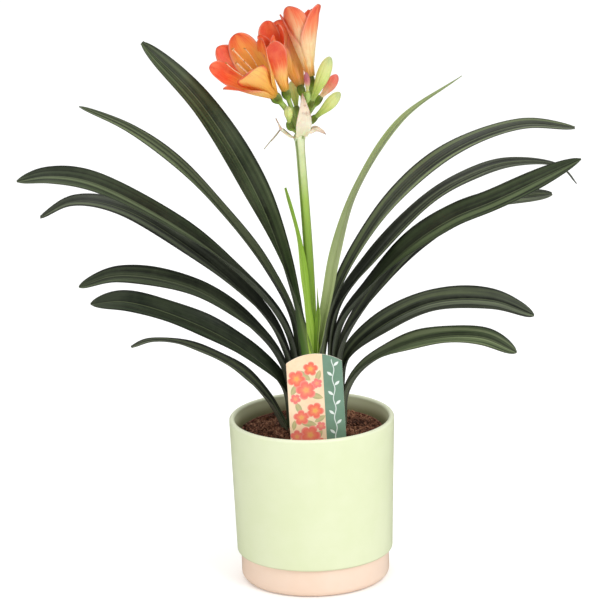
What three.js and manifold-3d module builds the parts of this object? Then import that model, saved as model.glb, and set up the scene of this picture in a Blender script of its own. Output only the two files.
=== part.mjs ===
// A clivia in flower: a fan of strap leaves and one stalk with an umbel of blooms and buds, rooted in a
// grower's pot that stands inside a two-colour ceramic cover pot, with a plant label pushed into the soil.
// Millimetres, +Z up. The origin is the middle of the cover pot's flat underside. The leaves fan out
// along X, and -Y is the front, where the label stands.

import * as THREE from "three";
import { LoftGeometry } from "three/addons/geometries/LoftGeometry.js";
import { mergeVertices } from "three/addons/utils/BufferGeometryUtils.js";
import Module from "manifold-3d";

const wasm = await Module();
wasm.setup();

const { lerp, smoothstep, degToRad } = THREE.MathUtils;

// ---------------------------------------------------------------- driving dimensions

const SEAT_GAP = 0.3; // left between pieces that touch

const COVER_POT = {
  height: 152,
  rimRadius: 75,
  bodyFootRadius: 71, // the glazed body narrows to this just above the foot
  footRadius: 67.5,
  footHeight: 25,
  footRound: 7,
  wall: 5,
  floor: 7.5,
};

const GROWER_POT = {
  height: 131,
  rimRadius: 64.5,
  collarHeight: 13,
  collarStep: 2,
  baseRadius: 50,
  wall: 1.4,
  drainHoles: 6,
  drainHoleRadius: 4,
  drainRing: 33,
};

const SOIL = { depthBelowRim: 6.5, mound: 4, bump: 1.1 };

const CROWN = { x: 3.3, topRadius: 31, bottomRadius: 18, flatness: 0.42, depth: 28, topZ: 137 };

// The well that the crown and the leaf bases stand in is the crown's own shape, a little larger and
// carried up through the soil.
const CROWN_WELL = { grow: 2.4, above: 14, below: SEAT_GAP };

const LEAF = {
  baseWidth: 18,
  baseCup: 0.42, // how far the edges stand up, as a share of the half width
  tipCup: 0.16,
  ribThickness: 1.8,
  edgeThickness: 1,
  rows: 12,
};

// Each leaf: `seat` is where it stands on the crown, `through` the points that the middle of the blade then
// passes, the last one its tip, and `width` its widest. `turn` is how far its upper face turns to the
// front, in degrees, from `turnFrom` of the way along, and `blunt` how round its tip is.
const LEAVES = {
  leaf_left_1: {
    seat: [-23.3, 0], width: 22, turn: 18, turnFrom: 0.05, blunt: 4,
    through: [[-41, -3, 171], [-70, -9, 203], [-115, -19, 229], [-143, -27, 235], [-160, -32, 231]],
  },
  leaf_left_2: {
    seat: [-20.5, 0], width: 30, turn: 32, turnFrom: 0, blunt: 9,
    through: [[-25, 0, 179], [-47, -3, 206], [-95, -11, 241], [-162, -22, 270], [-195, -28, 271]],
  },
  leaf_left_3: {
    seat: [-17.7, 0], width: 27, turn: 22, turnFrom: 0.25, blunt: 12,
    through: [
      [-20.2, 0, 178], [-26, 0, 201], [-42, 2, 226],
      [-100, 6, 271], [-170, 10, 286], [-207, 12, 276],
    ],
  },
  leaf_left_4: {
    seat: [-14.9, 0], width: 26, turn: 22, turnFrom: 0.2, blunt: 7,
    through: [
      [-17.5, 0, 188], [-22.5, 0, 212], [-37, 3, 243], [-93, 14, 298],
      [-165, 28, 343], [-210, 38, 349], [-241, 45, 333],
    ],
  },
  leaf_left_5: {
    seat: [-12.1, 0], width: 28, turn: 30, turnFrom: 0.35, blunt: 10,
    through: [
      [-14, 0, 190], [-18, 0, 223], [-29, -1, 249], [-56, -3, 283],
      [-112, -10, 333], [-190, -19, 381], [-228, -24, 389], [-256, -28, 386],
    ],
  },
  leaf_left_6: {
    seat: [-9.3, 0], width: 23, turn: 6, turnFrom: 0.3, blunt: 10,
    through: [
      [-10.8, 1, 195], [-16, 5, 244], [-37, 8, 288], [-72, 12, 338],
      [-113, 17, 385], [-155, 23, 417], [-201, 30, 439],
    ],
  },
  leaf_left_7: {
    seat: [-6.5, 0], width: 31, turn: 52, turnFrom: 0.22, blunt: 7,
    through: [[-8, -1, 195], [-12, -5, 262], [-41, -9, 356], [-89, -12, 446], [-141, -14, 506]],
  },
  leaf_right_1: {
    seat: [29.8, 0], width: 25, turn: 25, turnFrom: 0.2, blunt: 12,
    through: [[34, 0, 175], [52, -3, 200], [103, -11, 224], [155, -18, 227], [186, -22, 213]],
  },
  leaf_right_2: {
    seat: [27, 0], width: 29, turn: 28, turnFrom: 0.05, blunt: 12,
    through: [[29, 0, 178], [34, 0, 205], [57, 2, 228], [110, 7, 253], [165, 11, 253], [204, 14, 237]],
  },
  leaf_right_3: {
    seat: [24.2, 0], width: 27, turn: 24, turnFrom: 0.25, blunt: 10,
    through: [[26, 0, 186], [32, 0, 222], [70, 8, 276], [106, 16, 313], [156, 26, 339], [223, 38, 344]],
  },
  leaf_right_4: {
    seat: [21.4, 0], width: 30, turn: 35, turnFrom: 0.25, blunt: 8,
    through: [
      [22.8, 0, 192], [29.5, 0, 237], [54, -3, 271],
      [90, -8, 309], [130, -14, 337], [170, -20, 355], [245, -30, 393],
    ],
  },
  leaf_right_5: {
    seat: [18.6, 0], width: 25, turn: 10, turnFrom: 0.15, blunt: 5,
    through: [
      [19.8, 0, 198], [27, 2, 252], [58, 6, 294], [112, 18, 346],
      [148, 26, 365], [185, 35, 374], [231, 46, 367], [246, 50, 350],
    ],
  },
  leaf_right_6: {
    seat: [15.8, 0], width: 26, turn: 18, turnFrom: 0.15, blunt: 7,
    through: [
      [16.8, 0, 200], [22, 0, 255], [40, 2, 294], [80, 6, 351],
      [132, 11, 393], [195, 17, 414], [243, 21, 409],
    ],
  },
};

// The narrow young leaves in the middle of the fan, beside the flower stalk.
const YOUNG_LEAVES = {
  leaf_young_left: {
    seat: [-2.7, -4.5], width: 14, turn: 60, turnFrom: 0.3, blunt: 1.7,
    through: [[-2.6, -7, 200], [-3.4, -10, 262], [-7.5, -12, 325], [-18, -14, 370]],
  },
  leaf_young_right: {
    seat: [13, 0], width: 14, turn: 28, turnFrom: 0.3, blunt: 3,
    through: [
      [14, 0, 200], [17, 0, 255], [27.5, -1, 308],
      [47, -4, 366], [87, -9, 428], [141, -14, 468],
    ],
  },
  leaf_young_short: {
    seat: [9, -8.2], width: 8, turn: 55, turnFrom: 0, blunt: 3,
    through: [[9, -9, 195], [8.5, -10, 235], [7.5, -11, 272]],
  },
};

const STALK = {
  foot: [4.6, 0.5],
  top: [-4, 1, 412],
  footRadii: [4.2, 5.8],
  topRadii: [3.9, 4.8],
  knobRadius: 5.4,
};

// A bud's stalk is thinner than a bloom's by its radius times `budShare`.
const PEDICEL = { radius: 1.9, ovaryRadius: 3.9, ovaryLength: 10, budShare: 0.2 };

const BLOOM = {
  length: 64,
  tubeRadius: 3.4,
  flare: 1.55, // how late the funnel opens
  petalThickness: 1,
  innerWidth: 25,
  outerWidth: 19,
  petals: 6,
  tubeShare: 0.34, // as far up as this the petals are one tube
  rows: 6,
};

// Each bloom: the top of its ovary, the middle of its mouth, the mouth's radius and its turn about its axis.
const BLOOMS = [
  { base: [-30, -13, 454], mouth: [-60, -42, 500], mouthRadius: 26, spin: 14 },
  { base: [-14, -5, 459], mouth: [-28, -13, 512], mouthRadius: 14.5, spin: 30 },
  { base: [-1.5, 8, 458], mouth: [-17, 40, 507], mouthRadius: 15, spin: 40 },
  { base: [8, 2, 466], mouth: [-1, 14, 526], mouthRadius: 16, spin: 90 },
];

// Each bud: the top of its ovary, its tip, its widest radius and its colour.
const BUDS = {
  bud_large: { base: [11, -6, 447], tip: [27, -9, 485], radius: 6, colour: "budGreen" },
  bud_coral: { base: [16, 12, 446], tip: [31, 17, 465], radius: 5, colour: "budCoral" },
  bud_low_right: { base: [11, -5, 432], tip: [33, -10, 455], radius: 5.2, colour: "budGreen" },
  bud_pink: { base: [4, -7, 455], tip: [3.4, -9, 474], radius: 2.8, colour: "budCoral" },
  bud_low_left: { base: [-13, -9, 428], tip: [-14, -12, 444], radius: 4, colour: "budGreen" },
  bud_back: { base: [-6, 17, 436], tip: [-10, 30, 457], radius: 4.6, colour: "budGreen" },
};

// Each papery bract: the compass direction in which it leaves the knob (0 is +X, 90 the back), its length and
// width, its slope where it starts and at its tip, how far it turns about itself, all in degrees, and how
// high on the knob it sits.
const BRACTS = {
  bract_front: { bearing: 268, length: 38, width: 13, startSlope: 50, endSlope: 108, turn: 0, height: 0 },
  bract_right: { bearing: 330, length: 26, width: 10, startSlope: 56, endSlope: -25, turn: 40, height: 2 },
  bract_left: { bearing: 205, length: 26, width: 8, startSlope: 30, endSlope: 66, turn: -30, height: 1 },
  bract_back: { bearing: 80, length: 28, width: 11, startSlope: 45, endSlope: 92, turn: 0, height: 0 },
  bract_thread: { bearing: 190, length: 34, width: 2.4, startSlope: 40, endSlope: -55, turn: 0, height: -2 },
};

const LABEL = {
  width: 50,
  thickness: 0.8,
  shoulderHeight: 86, // above the soil line
  archRise: 8,
  buried: 34,
  taperFrom: 4, // below the soil line
  pointWidth: 10,
  cornerCut: 1,
  x: 6,
  y: -50,
  leanDegrees: 1.7,
  tiltDegrees: 3,
};

const COLOURS = {
  glazeGreen: { color: 0xe3ecc2, roughness: 0.45 },
  plastic: { color: 0x7c4636, roughness: 0.6 },
  soil: { color: 0x4b3026, roughness: 1 },
  crown: { color: 0xd9dca0, roughness: 0.6 },
  leaf: { color: 0x33482a, roughness: 0.4 },
  youngLeaf: { color: 0x86a850, roughness: 0.45 },
  stalk: { color: 0xa4c862, roughness: 0.5 },
  petal: { color: 0xf4764a, roughness: 0.5 },
  stamen: { color: 0xf7cf7a, roughness: 0.6 },
  budGreen: { color: 0xbfd46e, roughness: 0.5 },
  budCoral: { color: 0xea6f5a, roughness: 0.5 },
  bract: { color: 0xe9ddc0, roughness: 0.8 },
  label: { color: 0xf9ddb0, roughness: 0.35 },
};

// ---------------------------------------------------------------- helpers

const vector = (list) => new THREE.Vector3(...list);
const materials = Object.fromEntries(
  Object.entries(COLOURS).map(([name, look]) => [
    name,
    new THREE.MeshStandardMaterial({ ...look, metalness: 0 }),
  ]),
);

function named(name, geometry, look) {
  const mesh = new THREE.Mesh(geometry, materials[look]);
  mesh.name = name;
  return mesh;
}

// A geometry as a manifold-3d solid.
function solidOf(geometry) {
  const bare = new THREE.BufferGeometry()
    .setAttribute("position", geometry.attributes.position)
    .setIndex(geometry.index);
  const merged = mergeVertices(bare, 1e-4);
  return new wasm.Manifold(
    new wasm.Mesh({
      numProp: 3,
      vertProperties: merged.attributes.position.array,
      triVerts: new Uint32Array(merged.index.array),
    }),
  );
}

function geometryOf(solid) {
  const { vertProperties, triVerts } = solid.getMesh();
  return new THREE.BufferGeometry()
    .setAttribute("position", new THREE.BufferAttribute(vertProperties, 3))
    .setIndex(new THREE.BufferAttribute(triVerts, 1));
}

const union = (geometries) => geometryOf(geometries.map(solidOf).reduce((all, one) => all.add(one)));

const cut = (geometry, tools) =>
  geometryOf(tools.map(solidOf).reduce((left, tool) => left.subtract(tool), solidOf(geometry)));

// A lathe about +Z through [radius, z] points that start and end on the axis.
function turned(profile, segments) {
  const points = profile.map(([radius, z]) => new THREE.Vector2(radius, z));
  return new THREE.LatheGeometry(points, segments).rotateX(Math.PI / 2);
}

// A closed blade over sections of an even number of points: the first half of each runs across the upper
// face, the second half back across the lower one. Both faces are split along the same diagonals.
function blade(sections) {
  const count = sections[0].length;
  const half = count / 2;
  const last = sections.length - 1;
  const at = (row, column) => row * count + (column % count);
  const index = [];
  for (let row = 0; row < last; row++) {
    for (let column = 0; column < count; column++) {
      const [a, b] = [at(row, column), at(row, column + 1)];
      const [d, c] = [at(row + 1, column), at(row + 1, column + 1)];
      if (column < half) index.push(a, b, c, a, c, d);
      else index.push(a, b, d, b, c, d);
    }
  }
  for (let k = 0; k < half - 1; k++) {
    const corners = [k, k + 1, count - 2 - k, count - 1 - k];
    const [start, end] = [0, last].map((row) => corners.map((column) => at(row, column)));
    index.push(start[0], start[2], start[1], start[0], start[3], start[2]);
    index.push(end[0], end[1], end[2], end[0], end[2], end[3]);
  }
  const coordinates = sections.flat().flatMap((point) => point.toArray());
  return new THREE.BufferGeometry()
    .setAttribute("position", new THREE.Float32BufferAttribute(coordinates, 3))
    .setIndex(index);
}

// A round rod along a curve, with its radius as a function of the way along.
function rod(curve, radiusAt, steps, sides) {
  const frames = curve.computeFrenetFrames(steps);
  const sections = [];
  for (let i = 0; i <= steps; i++) {
    const centre = curve.getPointAt(i / steps);
    const radius = radiusAt(i / steps);
    sections.push(
      Array.from({ length: sides }, (_, k) => {
        const angle = (2 * Math.PI * k) / sides;
        return centre
          .clone()
          .addScaledVector(frames.normals[i], radius * Math.cos(angle))
          .addScaledVector(frames.binormals[i], radius * Math.sin(angle));
      }),
    );
  }
  return new LoftGeometry(sections, { capStart: true, capEnd: true });
}

// ---------------------------------------------------------------- pots and soil

const growerPotZ = COVER_POT.floor + SEAT_GAP;
const growerRimZ = growerPotZ + GROWER_POT.height;
const soilEdgeZ = growerRimZ - SOIL.depthBelowRim;

function coverPot() {
  const { height, rimRadius, bodyFootRadius, footRadius, footHeight, footRound, wall, floor } = COVER_POT;
  const lip = wall / 2;
  return turned(
    [
      [0, 0],
      [footRadius - footRound, 0],
      [footRadius - footRound * 0.3, footRound * 0.3],
      [footRadius, footRound],
      [footRadius, footHeight],
      [bodyFootRadius - 0.8, footHeight + 2],
      [bodyFootRadius, footHeight + 5],
      [rimRadius, height - lip],
      [rimRadius - lip * 0.3, height - lip * 0.3],
      [rimRadius - lip, height],
      [rimRadius - wall + lip * 0.3, height - lip * 0.3],
      [rimRadius - wall, height - lip],
      [footRadius - wall, floor + footRound],
      [footRadius - wall - footRound, floor],
      [0, floor],
    ],
    36,
  );
}

// The inside radius of the grower's pot at a height above its base.
function growerInside(height) {
  const { height: full, rimRadius, collarHeight, collarStep, baseRadius, wall } = GROWER_POT;
  return lerp(baseRadius, rimRadius - collarStep, height / (full - collarHeight)) - wall;
}

function growerPot() {
  const { height, rimRadius, collarHeight, collarStep, baseRadius, wall } = GROWER_POT;
  const { drainHoles, drainHoleRadius, drainRing } = GROWER_POT;
  const collarZ = height - collarHeight;
  const shell = turned(
    [
      [0, 0],
      [baseRadius, 0],
      [rimRadius - collarStep, collarZ],
      [rimRadius, collarZ + 1],
      [rimRadius, height],
      [rimRadius - wall, height],
      [rimRadius - wall, collarZ + 2],
      [rimRadius - collarStep - wall, collarZ],
      [baseRadius - wall, wall],
      [0, wall],
    ],
    32,
  );
  const drill = new THREE.CylinderGeometry(drainHoleRadius, drainHoleRadius, 6 * wall, 8);
  drill.rotateX(Math.PI / 2);
  const drills = Array.from({ length: drainHoles }, (_, k) => {
    const angle = (2 * Math.PI * k) / drainHoles;
    return drill.clone().translate(drainRing * Math.cos(angle), drainRing * Math.sin(angle), 0);
  });
  return cut(shell, drills);
}

// The crumbled top of the soil: a low mound with bumps that die out at the pot's wall.
function soilHeight(x, y, edgeRadius) {
  const rise = 1 - Math.min(1, Math.hypot(x, y) / edgeRadius) ** 2;
  const bumps = Math.sin(x * 0.31 + 1.3) * Math.cos(y * 0.27) + 0.7 * Math.sin(x * 0.17 - y * 0.39);
  return soilEdgeZ + SOIL.mound * rise + SOIL.bump * bumps * Math.min(1, 3 * rise);
}

function soil() {
  const rings = 7;
  const depth = soilEdgeZ - growerPotZ;
  const edgeRadius = growerInside(depth) - SEAT_GAP;
  const bottomZ = growerPotZ + GROWER_POT.wall + SEAT_GAP;
  const bottomRadius = growerInside(GROWER_POT.wall) - SEAT_GAP;
  const top = Array.from({ length: rings }, (_, k) => [edgeRadius * (1 - k / rings), soilEdgeZ]);
  const body = turned([[0, bottomZ], [bottomRadius, bottomZ], ...top, [0, soilEdgeZ]], 32);
  const position = body.attributes.position;
  for (let i = 0; i < position.count; i++) {
    const [x, y, z] = [position.getX(i), position.getY(i), position.getZ(i)];
    if (z > bottomZ + 1) position.setZ(i, soilHeight(x, y, edgeRadius));
  }
  return cut(body, [crownShape(CROWN_WELL), labelShape(SEAT_GAP)]);
}

// ---------------------------------------------------------------- crown and leaves

// The short flattened stem at the foot of the fan, or the well round it.
function crownShape({ grow = 0, above = 0, below = 0 } = {}) {
  const { x, topRadius, bottomRadius, flatness, depth, topZ } = CROWN;
  const slope = (topRadius - bottomRadius) / depth;
  const height = depth + above + below;
  const shape = new THREE.CylinderGeometry(
    topRadius + grow + slope * above,
    bottomRadius + grow - slope * below,
    height,
    20,
  );
  return shape
    .rotateX(Math.PI / 2)
    .scale(1, (topRadius * flatness + grow) / (topRadius + grow), 1)
    .translate(x, 0, topZ + above - height / 2);
}

// The line along the middle of a leaf, from its seat on the crown to its tip.
function leafMidline({ seat, through }) {
  const foot = new THREE.Vector3(...seat, CROWN.topZ + SEAT_GAP);
  return new THREE.CatmullRomCurve3([foot, ...through.map(vector)]);
}

// The width of a leaf as a share of its widest: narrow at the base, widest past the middle, then a tip that
// is the rounder the higher `blunt` is.
function leafOutline(s, baseShare, blunt) {
  return lerp(baseShare, 1, smoothstep(s, 0.08, 0.6)) * Math.max(0.03, 1 - s ** blunt) ** 0.62;
}

function leaf(spec) {
  const { seat, through, width, turn, turnFrom, blunt } = spec;
  const side = Math.sign(seat[0] - CROWN.x);
  const line = leafMidline(spec);
  const tip = vector(through.at(-1));
  const swing = 1.2 * Math.atan2(tip.y - seat[1], Math.abs(tip.x - seat[0]));
  const baseShare = Math.min(0.8, LEAF.baseWidth / width);
  const sections = [];
  for (let row = 0; row <= LEAF.rows; row++) {
    const s = 1 - (1 - row / LEAF.rows) ** 1.25; // closer together towards the tip
    const along = line.getTangentAt(s);
    const heading = swing * smoothstep(s, 0.1, 0.6);
    const across = new THREE.Vector3(Math.sin(heading), -side * Math.cos(heading), 0);
    across.addScaledVector(along, -along.dot(across)).normalize();
    const up = across.clone().cross(along);
    const roll = side * degToRad(turn) * smoothstep(s, turnFrom, turnFrom + 0.4);
    across.applyAxisAngle(along, roll);
    up.applyAxisAngle(along, roll);
    const shape = {
      halfWidth: (width / 2) * leafOutline(s, baseShare, blunt),
      cup: lerp(LEAF.baseCup, LEAF.tipCup, smoothstep(s, 0.15, 0.95)),
      rib: lerp(LEAF.ribThickness, 1.2, s),
      edge: LEAF.edgeThickness,
    };
    sections.push(bladeSection(line.getPointAt(s), across, up, shape));
  }
  // The base is cut level, so that it stands flat on the crown.
  const rise = line.getTangentAt(0);
  const level = CROWN.topZ + SEAT_GAP;
  for (const point of sections[0]) point.addScaledVector(rise, (level - point.z) / rise.z);
  return blade(sections);
}

// One section of a leaf or bract: a shallow channel, thick along the rib and thin at the edges.
function bladeSection(centre, across, up, { halfWidth, cup, rib, edge }) {
  const upper = [];
  const lower = [];
  for (const u of [-1, -0.5, 0, 0.5, 1]) {
    const thickness = lerp(rib, edge, Math.abs(u));
    const middle = centre
      .clone()
      .addScaledVector(across, u * halfWidth)
      .addScaledVector(up, cup * halfWidth * Math.abs(u) ** 1.6);
    upper.push(middle.clone().addScaledVector(up, thickness / 2));
    lower.unshift(middle.clone().addScaledVector(up, -thickness / 2));
  }
  return [...upper, ...lower];
}

// ---------------------------------------------------------------- flower stalk

// The stalk of one bloom or bud, from inside the knob to its seat, swelling into the ovary below it. It
// ends along the line from `base` to `tip`.
function pedicel(base, tip, scale) {
  const start = vector(STALK.top);
  const end = vector(base);
  const axis = vector(tip).sub(end).normalize();
  const length = start.distanceTo(end);
  const curve = new THREE.CubicBezierCurve3(
    start,
    start.clone().lerp(end, 0.3).setZ(start.z + 0.45 * length),
    end.clone().addScaledVector(axis, -0.4 * length),
    end,
  );
  const ovaryShare = PEDICEL.ovaryLength / curve.getLength();
  const thin = PEDICEL.radius * scale;
  const swell = PEDICEL.ovaryRadius * scale - thin;
  const radiusAt = (s) => {
    const inOvary = Math.max(0, (s - 1 + ovaryShare) / ovaryShare);
    return thin + swell * Math.sin(Math.PI * 0.86 * inOvary) ** 0.8;
  };
  return rod(curve, radiusAt, 7, 6);
}

function flowerStalk() {
  const { foot, top, footRadii, topRadii, knobRadius } = STALK;
  const start = new THREE.Vector3(...foot, CROWN.topZ + SEAT_GAP);
  const end = vector(top);
  const bend = new THREE.Vector3(start.x - 0.5, start.y, lerp(start.z, end.z, 0.55));
  const line = new THREE.QuadraticBezierCurve3(start, bend, end);
  const rows = 6;
  const sections = Array.from({ length: rows + 1 }, (_, i) => {
    const centre = line.getPointAt(i / rows);
    const [radiusX, radiusY] = footRadii.map((radius, k) => lerp(radius, topRadii[k], i / rows));
    return Array.from({ length: 12 }, (_, k) => {
      const angle = (2 * Math.PI * k) / 12;
      return centre.clone().add(new THREE.Vector3(radiusX * Math.cos(angle), radiusY * Math.sin(angle), 0));
    });
  });
  const stem = new LoftGeometry(sections, { capStart: true, capEnd: true });
  const knob = new THREE.SphereGeometry(knobRadius, 12, 6).rotateX(Math.PI / 2).translate(...top);
  const bloomStalks = BLOOMS.map(({ base, mouth }) => pedicel(base, mouth, 1));
  const budStalks = Object.values(BUDS).map(({ base, tip, radius }) => {
    return pedicel(base, tip, Math.min(0.85, PEDICEL.budShare * radius));
  });
  return union([stem, knob, ...bloomStalks, ...budStalks]);
}

// ---------------------------------------------------------------- blooms

// Where a petal's middle line runs: its radius and height against the way along it, 0 to 1. The six petals
// share one funnel low down, and spread and curl back by their own `extra` towards the tip.
function petalLine(s, mouthRadius, extra) {
  const { tubeRadius, length, flare } = BLOOM;
  const radius = tubeRadius + (mouthRadius - tubeRadius) * s ** flare + extra * s ** 5;
  return [radius, length * (s - 0.05 * s ** 5)];
}

// Half a petal's width: a share of the funnel low down, then its own lobe with a round end. Petals of one
// layer stay clear of each other.
function petalHalfWidth(s, width, mouthRadius) {
  const funnel = petalLine(s, mouthRadius, 0)[0];
  const lobe = (width / 2) * Math.max(0.05, 1 - Math.max(0, (s - 0.64) / 0.36) ** 2.2) ** 0.55;
  return Math.min(0.94 * funnel, lerp(0.66 * funnel, lobe, smoothstep(s, 0.12, 0.62)));
}

function petal(k, { mouthRadius }) {
  const outer = k % 2 === 0;
  const angle = (2 * Math.PI * k) / BLOOM.petals;
  const width = outer ? BLOOM.outerWidth : BLOOM.innerWidth;
  const extra = (outer ? 3.5 : 1.5) + 1.6 * Math.sin(2.4 * k + 0.1 * mouthRadius);
  const radial = new THREE.Vector3(Math.cos(angle), Math.sin(angle), 0);
  const around = new THREE.Vector3(-Math.sin(angle), Math.cos(angle), 0);
  const sections = [];
  for (let row = 0; row <= BLOOM.rows; row++) {
    const s = lerp(BLOOM.tubeShare - 0.06, 1, row / BLOOM.rows);
    const [radius, height] = petalLine(s, mouthRadius, extra);
    const [nextRadius, nextHeight] = petalLine(s + 0.01, mouthRadius, extra);
    const slope = Math.atan2(nextRadius - radius, nextHeight - height);
    const shift = outer ? lerp(0.5, 1.4, smoothstep(s, BLOOM.tubeShare, 0.5)) : 0;
    const upper = [];
    const lower = [];
    for (const u of [-1, -0.4, 0.4, 1]) {
      const bend = (u * petalHalfWidth(s, width, mouthRadius)) / radius;
      const out = radial.clone().multiplyScalar(Math.cos(bend)).addScaledVector(around, Math.sin(bend));
      const middle = out.clone().multiplyScalar(radius + shift).setZ(height);
      out.multiplyScalar(Math.cos(slope)).setZ(-Math.sin(slope));
      upper.push(middle.clone().addScaledVector(out, BLOOM.petalThickness / 2));
      lower.unshift(middle.clone().addScaledVector(out, -BLOOM.petalThickness / 2));
    }
    sections.push([...upper, ...lower]);
  }
  return blade(sections);
}

// The tube that the petals grow out of, closed at its foot.
function flowerTube({ mouthRadius }) {
  const { tubeRadius, tubeShare, petalThickness } = BLOOM;
  const floorTop = 3;
  const shares = [0.1, 0.55, 1].map((share) => share * tubeShare);
  const wall = (offset) =>
    shares.map((s) => petalLine(s, mouthRadius, 0)).map(([radius, height]) => [radius + offset, height]);
  return turned(
    [
      [0, 0],
      [tubeRadius, 0],
      ...wall(petalThickness * 0.75),
      ...wall(-petalThickness * 0.25).reverse(),
      [tubeRadius - 0.4, floorTop],
      [0, floorTop],
    ],
    12,
  );
}

function perianth(bloom) {
  const petals = Array.from({ length: BLOOM.petals }, (_, k) => petal(k, bloom));
  return union([flowerTube(bloom), ...petals]);
}

// Six stamens with their anthers and the longer style, joined where they leave the bottom of the tube.
function stamens({ mouthRadius }) {
  const foot = turned([[0, 3.3], [2.1, 3.3], [2.1, 6], [0, 6]], 6);
  const threads = Array.from({ length: 7 }, (_, k) => {
    const style = k === 6;
    const angle = (2 * Math.PI * k) / 6;
    const reach = style ? 0.86 : 0.68 + 0.04 * Math.sin(2 * k);
    const spread = style ? 0.1 : 0.32;
    const at = (radius, height) =>
      new THREE.Vector3(radius * Math.cos(angle), radius * Math.sin(angle), height * BLOOM.length);
    const curve = new THREE.CubicBezierCurve3(
      at(1, 0.07),
      at(1.4, reach * 0.4),
      at(spread * mouthRadius, reach * 0.75),
      at(spread * mouthRadius, reach),
    );
    const radiusAt = (s) => (s > 0.75 && s < 0.99 && !style ? 1.3 : 0.6);
    return rod(curve, radiusAt, 5, 3);
  });
  return union([foot, ...threads]);
}

function bloomGroup(bloom, number) {
  const group = new THREE.Group();
  const base = vector(bloom.base);
  const axis = vector(bloom.mouth).sub(base).normalize();
  group.position.copy(base).addScaledVector(axis, SEAT_GAP);
  group.quaternion
    .setFromUnitVectors(new THREE.Vector3(0, 0, 1), axis)
    .multiply(new THREE.Quaternion().setFromAxisAngle(new THREE.Vector3(0, 0, 1), degToRad(bloom.spin)));
  group.add(named(`bloom_${number}_petals`, perianth(bloom), "petal"));
  group.add(named(`bloom_${number}_stamens`, stamens(bloom), "stamen"));
  return group;
}

// ---------------------------------------------------------------- buds, bracts and label

// A closed bud: a long club with six faint ribs where the folded petals meet.
function bud({ base, tip, radius }) {
  const axis = vector(tip).sub(vector(base));
  const length = axis.length() - SEAT_GAP;
  const shares = [0.42, 0.58, 0.82, 1, 1, 0.84, 0.3];
  const sections = shares.map((share, i) => {
    const z = SEAT_GAP + length * Math.sin((Math.PI / 2) * (i / (shares.length - 1)));
    return Array.from({ length: 12 }, (_, k) => {
      const angle = (2 * Math.PI * k) / 12;
      const reach = radius * share * (k % 2 ? 0.93 : 1);
      return new THREE.Vector3(reach * Math.cos(angle), reach * Math.sin(angle), z);
    });
  });
  const turnTo = new THREE.Quaternion().setFromUnitVectors(new THREE.Vector3(0, 0, 1), axis.normalize());
  return new LoftGeometry(sections, { capStart: true, capEnd: true })
    .applyQuaternion(turnTo)
    .translate(...base);
}

// A papery bract at the foot of the umbel, hollowed towards the flower stalks.
function bract({ bearing, length, width, startSlope, endSlope, turn, height }) {
  const outward = new THREE.Vector3(Math.cos(degToRad(bearing)), Math.sin(degToRad(bearing)), 0);
  const centre = vector(STALK.top).add(new THREE.Vector3(0, 0, height));
  const rows = 6;
  const point = centre.addScaledVector(outward, STALK.knobRadius + SEAT_GAP + 0.5);
  const sections = [];
  for (let row = 0; row <= rows; row++) {
    const s = row / rows;
    const slope = degToRad(lerp(startSlope, endSlope, s));
    const along = outward.clone().multiplyScalar(Math.cos(slope)).setZ(Math.sin(slope));
    const up = outward.clone().multiplyScalar(-Math.sin(slope)).setZ(Math.cos(slope));
    const across = along.clone().cross(up);
    const roll = degToRad(turn) * smoothstep(s, 0, 0.5);
    across.applyAxisAngle(along, roll);
    up.applyAxisAngle(along, roll);
    const share = lerp(0.55, 1, smoothstep(s, 0, 0.4)) * (1 - s ** 1.8);
    const shape = { halfWidth: (width / 2) * Math.max(0.06, share), cup: 0.35, rib: 0.9, edge: 0.8 };
    sections.push(bladeSection(point, across, up, shape));
    point.addScaledVector(along, length / rows);
  }
  return blade(sections);
}

// The plant label, or with `grow` the slot that it stands in.
function labelShape(grow = 0) {
  const { width, thickness, shoulderHeight, archRise, buried, taperFrom, pointWidth, cornerCut } = LABEL;
  const half = width / 2 + grow;
  const archRadius = (half * half + archRise * archRise) / (2 * archRise);
  const archHalfAngle = Math.asin((half - cornerCut) / archRadius);
  const outline = new THREE.Shape();
  outline.moveTo(-pointWidth / 2 - grow, -buried - grow);
  outline.lineTo(pointWidth / 2 + grow, -buried - grow);
  outline.lineTo(half, -taperFrom);
  outline.lineTo(half, shoulderHeight - cornerCut);
  outline.absarc(
    0,
    shoulderHeight + archRise - archRadius,
    archRadius,
    Math.PI / 2 - archHalfAngle,
    Math.PI / 2 + archHalfAngle,
  );
  outline.lineTo(-half, shoulderHeight - cornerCut);
  outline.lineTo(-half, -taperFrom);
  const depth = thickness + 2 * grow;
  return new THREE.ExtrudeGeometry(outline, { depth, bevelEnabled: false, curveSegments: 10 })
    .translate(0, 0, -depth / 2)
    .rotateX(Math.PI / 2)
    .rotateX(degToRad(LABEL.tiltDegrees))
    .rotateY(-degToRad(LABEL.leanDegrees))
    .translate(LABEL.x, LABEL.y, soilEdgeZ + 1);
}

// ---------------------------------------------------------------- the potted plant

const clivia = new THREE.Group();
clivia.name = "clivia";

const growerPotMesh = named("grower_pot", growerPot(), "plastic");
growerPotMesh.position.z = growerPotZ;

clivia.add(named("cover_pot", coverPot(), "glazeGreen"));
clivia.add(growerPotMesh);
clivia.add(named("soil", soil(), "soil"));
clivia.add(named("crown", crownShape(), "crown"));
clivia.add(named("plant_label", labelShape(), "label"));

for (const [name, spec] of Object.entries(LEAVES)) clivia.add(named(name, leaf(spec), "leaf"));
for (const [name, spec] of Object.entries(YOUNG_LEAVES)) clivia.add(named(name, leaf(spec), "youngLeaf"));

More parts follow.
